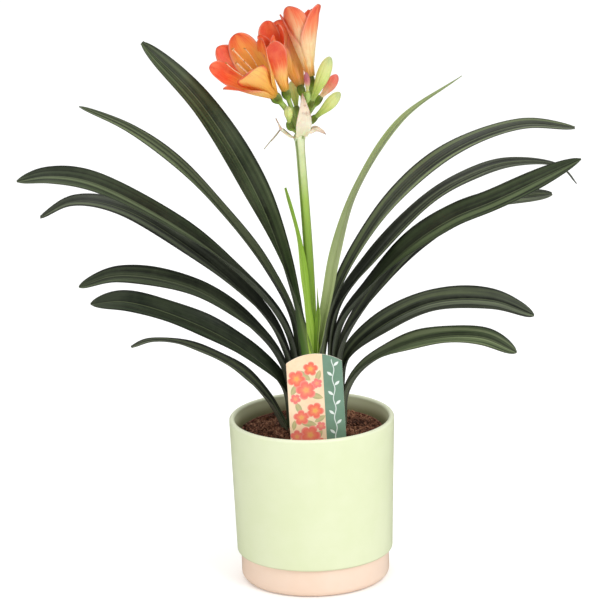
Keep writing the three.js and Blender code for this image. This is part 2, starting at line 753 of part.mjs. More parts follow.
clivia.add(named("flower_stalk", flowerStalk(), "stalk"));
BLOOMS.forEach((bloom, k) => clivia.add(bloomGroup(bloom, k + 1)));
for (const [name, spec] of Object.entries(BUDS)) clivia.add(named(name, bud(spec), spec.colour));
for (const [name, spec] of Object.entries(BRACTS)) clivia.add(named(name, bract(spec), "bract"));

export default clivia;
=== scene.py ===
"""A clivia in flower: a fan of strap leaves and one umbel of orange blooms, in its pots.

Metres, +Z up, with the origin under the middle of the cover pot and the front towards -Y. The pieces come
in the order in which the plant is potted up: cover pot, grower's pot, soil, crown, leaves, flower stalk,
blooms, stamens, buds, bracts and plant label, and then the studio that they stand in.
"""

import math
import random

import bmesh
import bpy
import numpy as np
from mathutils import Matrix, Vector, noise


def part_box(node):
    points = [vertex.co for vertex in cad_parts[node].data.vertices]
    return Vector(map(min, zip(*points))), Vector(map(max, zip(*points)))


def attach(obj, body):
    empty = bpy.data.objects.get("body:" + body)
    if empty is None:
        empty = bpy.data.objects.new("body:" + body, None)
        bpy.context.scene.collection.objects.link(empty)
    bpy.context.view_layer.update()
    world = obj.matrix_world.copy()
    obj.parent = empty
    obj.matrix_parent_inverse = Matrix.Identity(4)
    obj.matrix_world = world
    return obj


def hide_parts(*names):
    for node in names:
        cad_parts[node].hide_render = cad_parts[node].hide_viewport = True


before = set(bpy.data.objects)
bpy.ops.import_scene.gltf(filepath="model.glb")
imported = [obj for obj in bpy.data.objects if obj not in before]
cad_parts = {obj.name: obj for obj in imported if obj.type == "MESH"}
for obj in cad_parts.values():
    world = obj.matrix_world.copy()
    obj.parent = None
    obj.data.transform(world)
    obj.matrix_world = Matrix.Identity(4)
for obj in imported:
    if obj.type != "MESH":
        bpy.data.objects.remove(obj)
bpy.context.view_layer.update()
MM = 0.001

# ---------------------------------------------------------------- cover pot
# A slip-cast earthenware planter in one piece: a body in pale green satin glaze that widens a little
# towards a full round rim, above a set-back foot in pale pink.

POT_RIM_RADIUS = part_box("cover_pot")[1].x
POT_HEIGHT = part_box("cover_pot")[1].z
POT_WALL = 5 * MM
POT_FLOOR = 7.5 * MM
POT_BODY_FOOT_RADIUS = POT_RIM_RADIUS - 4 * MM
POT_FOOT_RADIUS = POT_RIM_RADIUS - 7.5 * MM
POT_FOOT_HEIGHT = 26 * MM
POT_FOOT_ROUND = 7 * MM
POT_STEP_ROUND = 1.6 * MM
POT_SEGMENTS = 160
GLAZE_GREEN = "e0e8be"
GLAZE_GREEN_THIN = "edf1d4"
GLAZE_PINK = "f6d9c2"
GLAZE_POOLED_AND_SHADED = "c9cfa4"
GLAZE_DUSTED = "7a7238"


def srgb(code):
    """The linear RGBA of a colour written as six hex digits."""
    channels = [int(code[k : k + 2], 16) / 255 for k in (0, 2, 4)]
    linear = [c / 12.92 if c < 0.04045 else ((c + 0.055) / 1.055) ** 2.4 for c in channels]
    return [*linear, 1.0]


def feed(tree, made, inputs):
    """Links inputs of a node to sockets, or sets them to values or hex colours."""
    for name, value in dict(inputs).items():
        if isinstance(value, bpy.types.NodeSocket):
            tree.links.new(value, made.inputs[name])
        else:
            made.inputs[name].default_value = srgb(value) if isinstance(value, str) else value


def node(tree, kind, inputs=(), **settings):
    """A shader node with its settings and its inputs."""
    made = tree.nodes.new("ShaderNode" + kind)
    for name, value in settings.items():
        setattr(made, name, value)
    feed(tree, made, inputs)
    return made


def math_node(tree, operation, *values):
    """The result of one Math node."""
    return node(tree, "Math", enumerate(values), operation=operation).outputs[0]


def times(tree, first, second):
    """Two values multiplied."""
    return math_node(tree, "MULTIPLY", first, second)


def ramp(tree, factor, stops):
    """The colour of a ramp with stops of (position, hex colour)."""
    made = node(tree, "ValToRGB", {"Fac": factor})
    elements = made.color_ramp.elements
    while len(elements) < len(stops):
        elements.new(0.5)
    for element, (position, _) in zip(elements, stops):
        element.position = position
    for element, (_, code) in zip(elements, stops):
        element.color = srgb(code)
    return made.outputs["Color"]


def mix(tree, factor, first, second, blend_type="MIX"):
    """Two colours, sockets or hex codes, mixed by a factor."""
    inputs = {0: factor, 6: first, 7: second}
    return node(tree, "Mix", inputs, data_type="RGBA", blend_type=blend_type).outputs[2]


def spread(tree, value, low, high, out_low=0.0, out_high=1.0):
    """A value mapped from one range to another, and clamped."""
    inputs = {0: value, 1: low, 2: high, 3: out_low, 4: out_high}
    return node(tree, "MapRange", inputs, interpolation_type="SMOOTHSTEP").outputs[0]


def noise_value(tree, vector, scale, detail, roughness=0.5):
    """A cloudy value round a half."""
    inputs = {"Vector": vector, "Scale": scale, "Detail": detail, "Roughness": roughness}
    return node(tree, "TexNoise", inputs).outputs["Fac"]


def axes(tree, vector):
    """The X, Y and Z of a vector."""
    return node(tree, "SeparateXYZ", {"Vector": vector}).outputs


def new_material(name, finish):
    """A material, its node tree and its Principled shader, with the shader's plain inputs set."""
    material = bpy.data.materials.new(name)
    material.use_nodes = True
    tree = material.node_tree
    tree.nodes.clear()
    shader = node(tree, "BsdfPrincipled", finish)
    node(tree, "OutputMaterial", {"Surface": shader.outputs[0]})
    return material, tree, shader


def new_group(name, inputs, outputs):
    """A shader node group, its input node and its output node. Inputs are (label, kind, value)."""
    tree = bpy.data.node_groups.new(name, "ShaderNodeTree")
    for label, kind, value in inputs:
        socket = tree.interface.new_socket(label, in_out="INPUT", socket_type="NodeSocket" + kind)
        socket.default_value = value
    for label, kind in outputs:
        tree.interface.new_socket(label, in_out="OUTPUT", socket_type="NodeSocket" + kind)
    return tree, tree.nodes.new("NodeGroupInput"), tree.nodes.new("NodeGroupOutput")


def mottle_group():
    """Cloudy patches of a second colour, from noise in two sizes, with the same clouds as a height."""
    inputs = [
        ("Colour", "Color", (0.5, 0.5, 0.5, 1)),
        ("Patches", "Color", (0.8, 0.8, 0.8, 1)),
        ("Amount", "Float", 0.5),
        ("Scale", "Float", 50.0),
        ("Vector", "Vector", (0, 0, 0)),
    ]
    tree, start, end = new_group("mottle", inputs, [("Colour", "Color"), ("Height", "Float")])
    vector, scale = start.outputs["Vector"], start.outputs["Scale"]
    broad = noise_value(tree, vector, scale, 3.0)
    fine = noise_value(tree, vector, times(tree, scale, 6.0), 4.0)
    both = math_node(tree, "ADD", broad, times(tree, fine, 0.4))
    factor = times(tree, spread(tree, both, 0.45, 0.95), start.outputs["Amount"])
    mixed = mix(tree, factor, start.outputs["Colour"], start.outputs["Patches"])
    feed(tree, end, {"Colour": mixed, "Height": both})
    return tree


MOTTLE = mottle_group()


def mottled(tree, colour, patches, amount, scale, vector):
    """The outputs of the mottle group: a colour with cloudy patches, and their height."""
    inputs = {"Colour": colour, "Patches": patches, "Amount": amount, "Scale": scale, "Vector": vector}
    return node(tree, "Group", inputs, node_tree=MOTTLE).outputs


def skinned(tree, shader, *look):
    """Gives the shader a mottled colour, and returns the height of its patches."""
    skin = mottled(tree, *look)
    feed(tree, shader, {"Base Color": skin["Colour"]})
    return skin["Height"]


def bumped(tree, shader, height, strength, distance):
    """Gives the shader a bump from a height."""
    inputs = {"Height": height, "Strength": strength, "Distance": distance}
    feed(tree, shader, {"Normal": node(tree, "Bump", inputs).outputs["Normal"]})


def object_coordinates(tree):
    """The place on the piece, in metres."""
    return node(tree, "TexCoord").outputs["Object"]


def finished(bm, name, materials, slot, *nodes, sharp=50):
    """Makes a bmesh a piece that rides on the part, takes a finish and stands for CAD nodes."""
    for face in bm.faces:
        face.smooth = True
    mesh = bpy.data.meshes.new(name)
    bm.to_mesh(mesh)
    bm.free()
    mesh.set_sharp_from_angle(angle=math.radians(sharp))
    for material in materials:
        mesh.materials.append(material)
    piece = bpy.data.objects.new(name, mesh)
    bpy.context.collection.objects.link(piece)
    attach(piece, "root")
    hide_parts(*nodes)


def arc(centre, radius, first, last, steps=6):
    """Points (radius, height) on an arc between two angles in degrees."""
    angles = [math.radians(first + (last - first) * k / steps) for k in range(steps + 1)]
    return [(centre[0] + radius * math.cos(a), centre[1] + radius * math.sin(a)) for a in angles]


def spun(bm, profile, segments):
    """Turns an open outline of (radius, height) points about the pot's axis."""
    verts = [bm.verts.new((radius, 0, height)) for radius, height in profile]
    edges = [bm.edges.new(pair) for pair in zip(verts, verts[1:])]
    bmesh.ops.spin(bm, geom=verts + edges, axis=(0, 0, 1), angle=math.tau, steps=segments, use_merge=True)
    bmesh.ops.remove_doubles(bm, verts=bm.verts, dist=1e-6)
    bmesh.ops.recalc_face_normals(bm, faces=bm.faces)


def lerp(first, last, share):
    return first + (last - first) * share


def cover_pot():
    lip = POT_WALL / 2
    foot, body = POT_FOOT_RADIUS, POT_BODY_FOOT_RADIUS
    inside = foot - POT_WALL
    step = POT_FOOT_HEIGHT + POT_STEP_ROUND + 0.6 * MM
    wall_low, wall_high = POT_FOOT_HEIGHT + 4 * MM, POT_HEIGHT - 3 * MM
    profile = [(0, 0), (foot * 0.5, 0)]
    profile += arc((foot - POT_FOOT_ROUND, POT_FOOT_ROUND), POT_FOOT_ROUND, -90, 0)
    profile += [(foot, POT_FOOT_HEIGHT - 2 * MM), (foot, POT_FOOT_HEIGHT)]
    profile += arc((body - POT_STEP_ROUND, step), POT_STEP_ROUND, -80, 0)
    for k in range(1, 12):
        profile.append((lerp(body, POT_RIM_RADIUS, k / 12), lerp(wall_low, wall_high, k / 12)))
    profile += arc((POT_RIM_RADIUS - lip, POT_HEIGHT - lip), lip, 0, 180, 10)
    profile += [(inside, POT_FLOOR + POT_FOOT_ROUND)]
    profile += arc((inside - POT_FOOT_ROUND, POT_FLOOR + POT_FOOT_ROUND), POT_FOOT_ROUND, 0, -90)
    profile += [(0, POT_FLOOR)]
    bm = bmesh.new()
    spun(bm, profile, POT_SEGMENTS)
    return bm


def glaze_material():
    material, tree, shader = new_material("pot_glaze", {"Coat Weight": 0.25, "Coat Roughness": 0.22})
    place = object_coordinates(tree)
    height = axes(tree, place)["Z"]
    green = mottled(tree, GLAZE_GREEN, GLAZE_GREEN_THIN, 0.35, 14.0, place)
    # The glaze breaks thin and pale over the rim. It is darker in the corner above the foot, where glaze
    # pooled and where painted shade lies under the body's edge.
    thin = spread(tree, height, POT_HEIGHT - 3 * MM, POT_HEIGHT - 0.5 * MM, 0.0, 0.7)
    body = mix(tree, thin, green["Colour"], GLAZE_GREEN_THIN)
    pooled_and_shaded = spread(tree, height, POT_FOOT_HEIGHT + 3 * MM, POT_FOOT_HEIGHT + 0.8 * MM, 0.0, 0.55)
    body = mix(tree, pooled_and_shaded, body, GLAZE_POOLED_AND_SHADED)
    # Potting mix has dusted the inside down by the soil.
    middle = node(tree, "VectorMath", {0: place, 1: (1.0, 1.0, 0.0)}, operation="MULTIPLY").outputs[0]
    middle = node(tree, "VectorMath", {0: middle}, operation="LENGTH").outputs["Value"]
    within = spread(tree, middle, POT_RIM_RADIUS - 3.4 * MM, POT_RIM_RADIUS - 4 * MM)
    low = spread(tree, height, POT_HEIGHT - 40 * MM, POT_HEIGHT - 30 * MM)
    high = spread(tree, height, POT_HEIGHT - 4 * MM, POT_HEIGHT - 15 * MM, 0.0, 0.75)
    dusted = times(tree, times(tree, within, low), high)
    body = mix(tree, dusted, body, GLAZE_DUSTED)
    foot = mottled(tree, GLAZE_PINK, "fbe6d6", 0.4, 20.0, place)
    above = spread(tree, height, POT_FOOT_HEIGHT + 0.2 * MM, POT_FOOT_HEIGHT + 0.6 * MM)
    roughness = spread(tree, noise_value(tree, place, 60.0, 4.0), 0.3, 0.7, 0.42, 0.55)
    feed(tree, shader, {"Base Color": mix(tree, above, foot["Colour"], body), "Roughness": roughness})
    bumped(tree, shader, green["Height"], 0.12, 0.4 * MM)
    return material


finished(cover_pot(), "cover_pot_glazed", [glaze_material()], "pot_glaze", "cover_pot")

# ---------------------------------------------------------------- grower's pot
# A thin injection-moulded pot in terracotta-brown plastic. Only its rim shows, dusted with potting mix.


def nursery_plastic():
    material, tree, shader = new_material("nursery_plastic", {"Specular IOR Level": 0.4})
    place = object_coordinates(tree)
    plastic = mottled(tree, "7c4334", "8e5644", 0.5, 60.0, place)
    grit = noise_value(tree, place, 900.0, 2.0)
    colour = mix(tree, spread(tree, grit, 0.56, 0.68, 0.0, 0.8), plastic["Colour"], "3a251c")
    feed(tree, shader, {"Base Color": colour, "Roughness": spread(tree, grit, 0.4, 0.7, 0.5, 0.85)})
    bumped(tree, shader, grit, 0.3, 0.2 * MM)
    return material


def dressed(name, material):
    """Gives a CAD node that stays in view its material."""
    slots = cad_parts[name].data.materials
    slots.clear()
    slots.append(material)


dressed("grower_pot", nursery_plastic())

# ---------------------------------------------------------------- potting soil
# Dark reddish potting mix of peat, coir fibre and bark chips: a low crumbled mound over the whole pot, with
# loose crumbs, chips and fibres lying on it.

SOIL_LOW, SOIL_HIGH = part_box("soil")
SOIL_RADIUS = SOIL_HIGH.x - 0.2 * MM
SOIL_EDGE_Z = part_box("grower_pot")[1].z - 0.8 * MM
SOIL_MOUND = 2.5 * MM
SOIL_LUMPS = 1.5 * MM
SOIL_RINGS = 40
SOIL_SEGMENTS = 96
SOIL_BASE_SHARE = 0.74  # the radius of the block's foot, as a share of its top's

# What lies on the soil: how many, how far in from its edge and how thick, in millimetres, and how much
# longer than thick. The fine crumbs run out over the edge, up to the pot.
CRUMBS = dict(count=4000, margin=-2.4, sizes=(0.45, 1.2), stretches=(0.9, 2.2), subdivisions=1)
BARK_CHIPS = dict(count=420, margin=3, sizes=(1.1, 2.5), stretches=(1.4, 3.0), subdivisions=2)
FIBRES = dict(count=150, margin=6, sizes=(0.2, 0.32), stretches=(9, 20), subdivisions=1)
CRUMB_RAISED = 0.25  # how far the middle of a crumb stands above the soil, as a share of its thickness
CRUMB_RAGGED = 0.28  # how far its corners are pushed about, as a share of the same
SOIL_COLOURS = [(0.0, "24150f"), (0.3, "4a2d20"), (0.5, "6b4432"), (0.72, "8c6149"), (1.0, "b58e6f")]
draw = random.Random(7)


def soil_height(x, y):
    """The height of the soil's surface."""
    share = min(1.0, math.hypot(x, y) / SOIL_RADIUS)
    rise = SOIL_MOUND * (1 - share**2)
    lumps = noise.fractal(Vector((x, y, 0.3)) * 90, 0.7, 2.1, 4) * SOIL_LUMPS
    return SOIL_EDGE_Z + rise + lumps * min(1.0, 6 * (1 - share) + 0.3)


def on_soil(margin):
    """A random spot on the soil, evenly spread over its area."""
    radius = (SOIL_RADIUS - margin) * math.sqrt(draw.random())
    angle = draw.uniform(0, math.tau)
    return radius * math.cos(angle), radius * math.sin(angle)


def crumb(bm, spot, size, stretch, subdivisions):
    """One angular crumb, squashed and turned at random, half sunk in the surface."""
    x, y = spot
    axis = Vector((draw.random(), draw.random(), draw.random()))
    turn = Matrix.Rotation(draw.uniform(0, math.tau), 4, axis)
    scale = Matrix.Diagonal((size * stretch, size, size * draw.uniform(0.45, 0.8), 1))
    place = Matrix.Translation((x, y, soil_height(x, y) + CRUMB_RAISED * size)) @ turn @ scale
    made = bmesh.ops.create_icosphere(bm, subdivisions=subdivisions, radius=1, matrix=place)
    for vert in made["verts"]:
        vert.co += Vector([draw.uniform(-CRUMB_RAGGED, CRUMB_RAGGED) * size for _ in range(3)])


def strewn(bm, count, margin, sizes, stretches, subdivisions):
    """Adds crumbs all over the soil. They are made a hundred at a time, which is much faster."""
    while count > 0:
        heap = bmesh.new()
        for _ in range(min(count, 100)):
            size = draw.uniform(*sizes) * MM
            crumb(heap, on_soil(margin * MM), size, draw.uniform(*stretches), subdivisions)
        mesh = bpy.data.meshes.new("heap")
        heap.to_mesh(mesh)
        heap.free()
        bm.from_mesh(mesh)
        bpy.data.meshes.remove(mesh)
        count -= 100


def soil():
    bm = bmesh.new()
    top = [(SOIL_RADIUS * (1 - k / SOIL_RINGS), SOIL_EDGE_Z) for k in range(SOIL_RINGS + 1)]
    spun(bm, [(0, SOIL_LOW.z), (SOIL_BASE_SHARE * SOIL_RADIUS, SOIL_LOW.z), *top], SOIL_SEGMENTS)
    for vert in bm.verts:
        if vert.co.z > SOIL_LOW.z + 1 * MM:
            vert.co.z = soil_height(vert.co.x, vert.co.y)
    for heap in (CRUMBS, BARK_CHIPS, FIBRES):
        strewn(bm, **heap)
    return bm


def soil_material():
    material, tree, shader = new_material("potting_mix", {"Specular IOR Level": 0.25, "Roughness": 0.92})
    place = object_coordinates(tree)
    specks = noise_value(tree, place, 420.0, 5.0, 0.65)
    tone = math_node(tree, "MULTIPLY_ADD", noise_value(tree, place, 45.0, 2.0), 0.4, specks)
    feed(tree, shader, {"Base Color": ramp(tree, spread(tree, tone, 0.44, 1.0), SOIL_COLOURS)})
    bumped(tree, shader, specks, 0.9, 0.6 * MM)
    return material


finished(soil(), "potting_mix", [soil_material()], "potting_soil", "soil", sharp=25)

# ---------------------------------------------------------------- crown
# The short thick stem under the leaves, wrapped in pale leaf bases. It stands in the soil, which hides
# almost all of it.


def crown_material():
    finish = {"Roughness": 0.45, "Subsurface Weight": 0.1, "Subsurface Scale": 2 * MM}
    material, tree, shader = new_material("leaf_bases", finish)
    patches = skinned(tree, shader, "c9cf96", "e4e3bd", 0.7, 80.0, object_coordinates(tree))
    bumped(tree, shader, patches, 0.3, 0.5 * MM)
    return material


dressed("crown", crown_material())

# ---------------------------------------------------------------- mature leaves
# Thirteen strap leaves in two ranks. Each rises from the crown as a folded channel, opens to a flat leathery
# blade with a sunk midrib and fine parallel veins, and arches over to its tip.

LEAF_SIDES = 44
LEAF_ROWS = 96
LEAF_SUNK = 7 * MM  # how far the base goes down into the soil
LEAF_BASE_WIDTH = 18
LEAF_THICKNESS = (1.9 * MM, 0.75 * MM)  # along the rib, and at the edges
LEAF_CUPS = (0.46, 0.16)  # how high the edges stand at the base and at the tip, as a share of the half width
LEAF_WAVE = 0.7 * MM
LEAF_GROOVE = 0.7 * MM
LEAF_SWING = 1.2  # how far the width of a blade swings round, as a share of how far its tip has swung
CROWN_X = 3.3
CROWN_TOP_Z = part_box("crown")[1].z

# `seat` and `seat_y` are where a leaf leaves the crown, `through` holds the points that the middle of its
# blade passes, the last one its tip, and `width` is its widest, all in millimetres. `turn` is how far its
# upper face turns to the front, in degrees, from `turn_from` of the way along, and `turn_end` how far at its
# tip, where that differs. `blunt` is how round its tip is, `fold` how sharp its fold along the rib is, and
# `clasp` how much deeper its foot is folded, where it clasps what stands inside. `fresh` is how bright green
# its base is, `lush` how yellow-green the blade is, and `pale` how bright its bands of painted highlight
# are.
# The tint between those two is how much grey sheen is painted on the blade.
LEAVES = {
    "leaf_left_1": dict(
        seat=-23.3, width=22, turn=24, turn_end=6, turn_from=0.05, blunt=3, fold=0.3,
        lush=0.03, painted_sheen=1.3, pale=1.3,
        through=[(-41, -3, 171), (-70, -9, 203), (-115, -19, 229), (-143, -27, 235), (-160, -32, 231)],
    ),
    "leaf_left_2": dict(
        seat=-20.5, width=30, turn=32, turn_from=0.0, blunt=9, fold=0.3,
        lush=0, painted_sheen=0.02, pale=0,
        through=[(-25, 0, 179), (-47, -3, 206), (-95, -11, 241), (-162, -22, 270), (-195, -28, 271)],
    ),
    "leaf_left_3": dict(
        seat=-17.7, width=27, turn=22, turn_from=0.25, blunt=16, fold=0.3,
        lush=0.2, painted_sheen=0.2, pale=0.4,
        through=[
            (-20.2, 0, 178), (-26, 0, 201), (-42, 2, 226),
            (-100, 6, 271), (-170, 10, 286), (-207, 12, 276),
        ],
    ),
    "leaf_left_4": dict(
        seat=-14.9, width=26, turn=22, turn_from=0.2, blunt=7, fold=0.4,
        lush=0, painted_sheen=0.65, pale=0.4,
        through=[
            (-17.5, 0, 188), (-22.5, 0, 212), (-37, 3, 243), (-93, 14, 298),
            (-165, 28, 343), (-210, 38, 349), (-241, 45, 333),
        ],
    ),
    "leaf_left_5": dict(
        seat=-12.1, width=28, turn=30, turn_from=0.35, blunt=12, fold=0.4,
        lush=0.22, painted_sheen=0.2, pale=0.4,
        through=[
            (-14, 0, 190), (-18, 0, 223), (-29, -1, 249), (-56, -3, 283),
            (-112, -10, 333), (-190, -19, 381), (-228, -24, 389), (-256, -28, 386),
        ],
    ),
    "leaf_left_6": dict(
        seat=-9.3, width=23, turn=6, turn_from=0.3, blunt=14, fold=0.5,
        lush=0.8, painted_sheen=0.45, pale=1.7, fresh=0.5,
        through=[
            (-10.8, 1, 195), (-16, 5, 244), (-37, 8, 288), (-72, 12, 338),
            (-113, 17, 385), (-155, 23, 417), (-201, 30, 439),
        ],
    ),
    "leaf_left_7": dict(
        seat=-6.5, width=31, turn=52, turn_from=0.22, blunt=7, fold=0.8, clasp=1.3,
        lush=0.32, painted_sheen=0.15, pale=0.5, fresh=0.9,
        through=[
            (-7, -3, 195), (-8, -5, 217), (-9.5, -5.5, 239), (-12.5, -5, 262),
            (-41, -9, 356), (-89, -12, 446), (-141, -14, 506),
        ],
    ),
    "leaf_right_1": dict(
        seat=29.8, width=25, turn=25, turn_from=0.2, blunt=14, fold=0.3,
        lush=0.8, painted_sheen=0.4, pale=1,
        through=[(34, 0, 175), (52, -3, 200), (103, -11, 224), (155, -18, 227), (186, -22, 213)],
    ),
    "leaf_right_2": dict(
        seat=27, width=29, turn=28, turn_from=0.05, blunt=14, fold=0.3,
        lush=0.2, painted_sheen=0.75, pale=0.7,
        through=[(29, 0, 178), (34, 0, 205), (57, 2, 228), (110, 7, 253), (165, 11, 253), (204, 14, 237)],
    ),
    "leaf_right_3": dict(
        seat=24.2, width=27, turn=24, turn_from=0.25, blunt=10, fold=0.3,
        lush=0.05, painted_sheen=1.7, pale=1.8,
        through=[(26, 0, 186), (32, 0, 222), (70, 8, 276), (106, 16, 313), (156, 26, 339), (223, 38, 344)],
    ),
    "leaf_right_4": dict(
        seat=21.4, width=30, turn=35, turn_from=0.25, blunt=8, fold=0.7,
        lush=0.3, painted_sheen=0.08, pale=0.25,
        through=[
            (22.8, 0, 192), (29.5, 0, 237), (54, -3, 271),
            (90, -8, 309), (130, -14, 337), (170, -20, 355), (245, -30, 393),
        ],
    ),
    "leaf_right_5": dict(
        seat=18.6, width=25, turn=10, turn_from=0.15, blunt=5, fold=0.5,
        lush=0.05, painted_sheen=0.95, pale=1.5,
        through=[
            (19.8, 0, 198), (27, 2, 252), (58, 6, 294), (112, 18, 346),
            (148, 26, 365), (185, 35, 374), (231, 46, 367), (246, 50, 350),
        ],
    ),
    "leaf_right_6": dict(
        seat=15.8, width=26, turn=18, turn_from=0.15, blunt=7, fold=0.5,
        lush=0.45, painted_sheen=1.3, pale=2.1, fresh=0.6,
        through=[
            (12.5, -1, 204), (17, 0, 232), (22, 0, 255), (40, 2, 294), (80, 6, 351),
            (132, 11, 393), (195, 17, 414), (243, 21, 409),
        ],
    ),
}


def smoothstep(value, low, high):
    share = min(1.0, max(0.0, (value - low) / (high - low)))
    return share * share * (3 - 2 * share)


def curve_point(points, share):
    """A point between the middle two of four points, on the centripetal Catmull-Rom curve through them."""
    knots = [0.0]
    for first, last in zip(points, points[1:]):
        knots.append(knots[-1] + math.sqrt((last - first).length))
    knot = lerp(knots[1], knots[2], share)

    def between(pair, low, high):
        return pair[0].lerp(pair[1], (knot - knots[low]) / (knots[high] - knots[low]))

    thirds = [between(points[k : k + 2], k, k + 1) for k in range(3)]
    halves = [between(thirds[k : k + 2], k, k + 2) for k in range(2)]
    return between(halves, 1, 2)


TRACK_STEPS = 24  # on the stretch of a curve between two of its points
HEADING_SPAN = 0.024  # the share of a curve over which its heading is taken


def smooth_line(points):
    """A function of the way along, 0 to 1, that gives the place and heading on a smooth curve through
    points. Below 0 it goes straight on, back from the start."""
    ends = [2 * points[0] - points[1], *points, 2 * points[-1] - points[-2]]
    track = []
    for start in range(len(points) - 1):
        stretch = ends[start : start + 4]
        track += [curve_point(stretch, k / TRACK_STEPS) for k in range(TRACK_STEPS)]
    track = np.array([*track, points[-1]])
    steps = np.linalg.norm(np.diff(track, axis=0), axis=1)
    length = steps.sum()
    way = np.concatenate([[0], np.cumsum(steps)]) / length

    def place(share):
        return Vector([np.interp(share, way, track[:, axis]) for axis in range(3)])

    def line(share):
        low = min(1 - HEADING_SPAN, max(0.0, share - HEADING_SPAN / 2))
        heading = (place(low + HEADING_SPAN) - place(low)).normalized()
        return place(share) + heading * min(0.0, share) * length, heading

    return line


def add_tube(bm, sides, rows, place, crowd=1.0, tone=lambda s: 0.0):
    """Adds a tube with closed ends and bends it into shape: place(turn, s) gives a vertex's place, with turn
    in radians round the tube and s from 0 to 1 along it. Rows crowd towards the end above a crowd of 1. The
    UV map "strip" holds how far across (turned flat, 0.5 is the middle) and along a point is, "upside" is 1
    on the face where turn is a quarter, and "tone" is free for a colour."""
    start = len(bm.verts)
    upside = bm.verts.layers.float.get("upside") or bm.verts.layers.float.new("upside")
    toned = bm.verts.layers.float.get("tone") or bm.verts.layers.float.new("tone")
    strip = bm.loops.layers.uv.get("strip") or bm.loops.layers.uv.new("strip")
    made = bmesh.ops.create_cone(bm, cap_ends=True, segments=sides, radius1=1, radius2=1, depth=1)
    long_edges = {edge for vert in made["verts"] for edge in vert.link_edges}
    long_edges = [edge for edge in long_edges if abs(edge.verts[0].co.z - edge.verts[1].co.z) > 0.5]
    bmesh.ops.subdivide_edges(bm, edges=long_edges, cuts=rows - 1)
    verts = list(bm.verts)[start:]
    spots = {}
    for vert in verts:
        turn = math.atan2(vert.co.y, vert.co.x)
        s = 1 - (0.5 - vert.co.z) ** crowd
        spots[vert] = (0.5 + 0.5 * math.cos(turn), s)
        vert[upside] = 0.5 + 0.5 * math.sin(turn)
        vert[toned] = tone(s)
        vert.co = place(turn, s)
    faces = {face for vert in verts for face in vert.link_faces}
    for face in faces:
        for loop in face.loops:
            loop[strip].uv = spots[loop.vert]
    bmesh.ops.recalc_face_normals(bm, faces=list(faces))


def leaf_outline(s, base_share, blunt):
    """A leaf's width as a share of its widest: narrow at the base, and rounded off at the tip."""
    return lerp(base_share, 1, smoothstep(s, 0.08, 0.6)) * max(0.02, 1 - max(s, 0) ** blunt) ** 0.55


def leaf_place(spec, number):
    """The function that bends a tube into one leaf."""
    side = math.copysign(1, spec["seat"] - CROWN_X)
    foot = Vector((spec["seat"], spec.get("seat_y", 0), CROWN_TOP_Z / MM))
    points = [foot * MM, *(Vector(point) * MM for point in spec["through"])]
    line = smooth_line(points)
    tip = points[-1]
    swing = LEAF_SWING * math.atan2(tip.y - foot.y * MM, abs(tip.x - foot.x * MM))
    length = sum((b - a).length for a, b in zip(points, points[1:]))
    base_share = min(0.8, LEAF_BASE_WIDTH / spec["width"])

    def place(turn, share):
        s = lerp(-LEAF_SUNK / length, 1, share)
        centre, along = line(s)
        heading = swing * smoothstep(s, 0.1, 0.6)
        across = Vector((-side * math.sin(heading), math.cos(heading), 0))
        across = (across - along * along.dot(across)).normalized()
        up = along.cross(across) * side
        start = spec["turn_from"]
        turned = lerp(spec["turn"], spec.get("turn_end", spec["turn"]), smoothstep(s, 0.3, 0.8))
        turned *= smoothstep(s, start, start + 0.4)
        roll = Matrix.Rotation(side * math.radians(turned), 3, along)
        across, up = roll @ across, roll @ up
        u, face = math.cos(turn), math.sin(turn)
        half_width = spec["width"] / 2 * MM * leaf_outline(s, base_share, spec["blunt"])
        cup = lerp(LEAF_CUPS[0], LEAF_CUPS[1], smoothstep(s, 0.0, 0.95))
        cup += spec.get("clasp", 0) * smoothstep(s, 0.04, 0.12) * (1 - smoothstep(s, 0.1, 0.3))
        fold = lerp(1.5, 1.0, spec["fold"] * (1 - smoothstep(s, 0.7, 1.0)))
        wave = LEAF_WAVE * math.sin(19 * s + 2.1 * number + 1.5 * u) * abs(u) ** 3 * smoothstep(s, 0.2, 0.5)
        groove = -LEAF_GROOVE * math.exp(-((u / 0.07) ** 2)) * (1 - 0.4 * s)
        middle = across * (u * half_width) + up * (cup * half_width * abs(u) ** fold + wave + groove)
        rib, edge = LEAF_THICKNESS
        thickness = lerp(edge, lerp(rib, edge, max(s, 0)), math.exp(-((u / 0.25) ** 2)))
        taper = min(1.0, half_width / (3 * MM))
        return centre + middle + up * math.copysign(abs(face) ** 0.5, face) * thickness / 2 * taper

    return place


def strand_group():
    """The fine parallel veins of a blade: lines that run along it, as a tone and as a height."""
    inputs = [(label, "Float", 1.0) for label in ("Across", "Along", "Lines", "Drift")]
    tree, start, end = new_group("strands", inputs, [("Tone", "Float"), ("Height", "Float")])
    lines = times(tree, start.outputs["Across"], start.outputs["Lines"])
    drift = times(tree, start.outputs["Along"], start.outputs["Drift"])
    vector = node(tree, "CombineXYZ", {"X": lines, "Y": drift}).outputs[0]
    fine = noise_value(tree, vector, 1.0, 3.0, 0.6)
    feed(tree, end, {"Tone": spread(tree, fine, 0.35, 0.68), "Height": fine})
    return tree


STRANDS = strand_group()


def stranded(tree, across, along, lines, drift=2.0):
    """The outputs of the strand group: the tone and the height of fine veins along a blade."""
    inputs = {"Across": across, "Along": along, "Lines": lines, "Drift": drift}
    return node(tree, "Group", inputs, node_tree=STRANDS).outputs


def attribute(tree, name):
    """A value that the mesh carries at each vertex."""
    return node(tree, "Attribute", attribute_name=name).outputs["Fac"]


def off_middle(tree, value, middle=0.5):
    """How far a value is from the middle, to either side."""
    return math_node(tree, "ABSOLUTE", math_node(tree, "SUBTRACT", value, middle))


def strip_coordinates(tree):
    """How far across and along its blade a point is."""
    strip = axes(tree, node(tree, "UVMap", uv_map="strip").outputs[0])
    return strip["X"], strip["Y"]


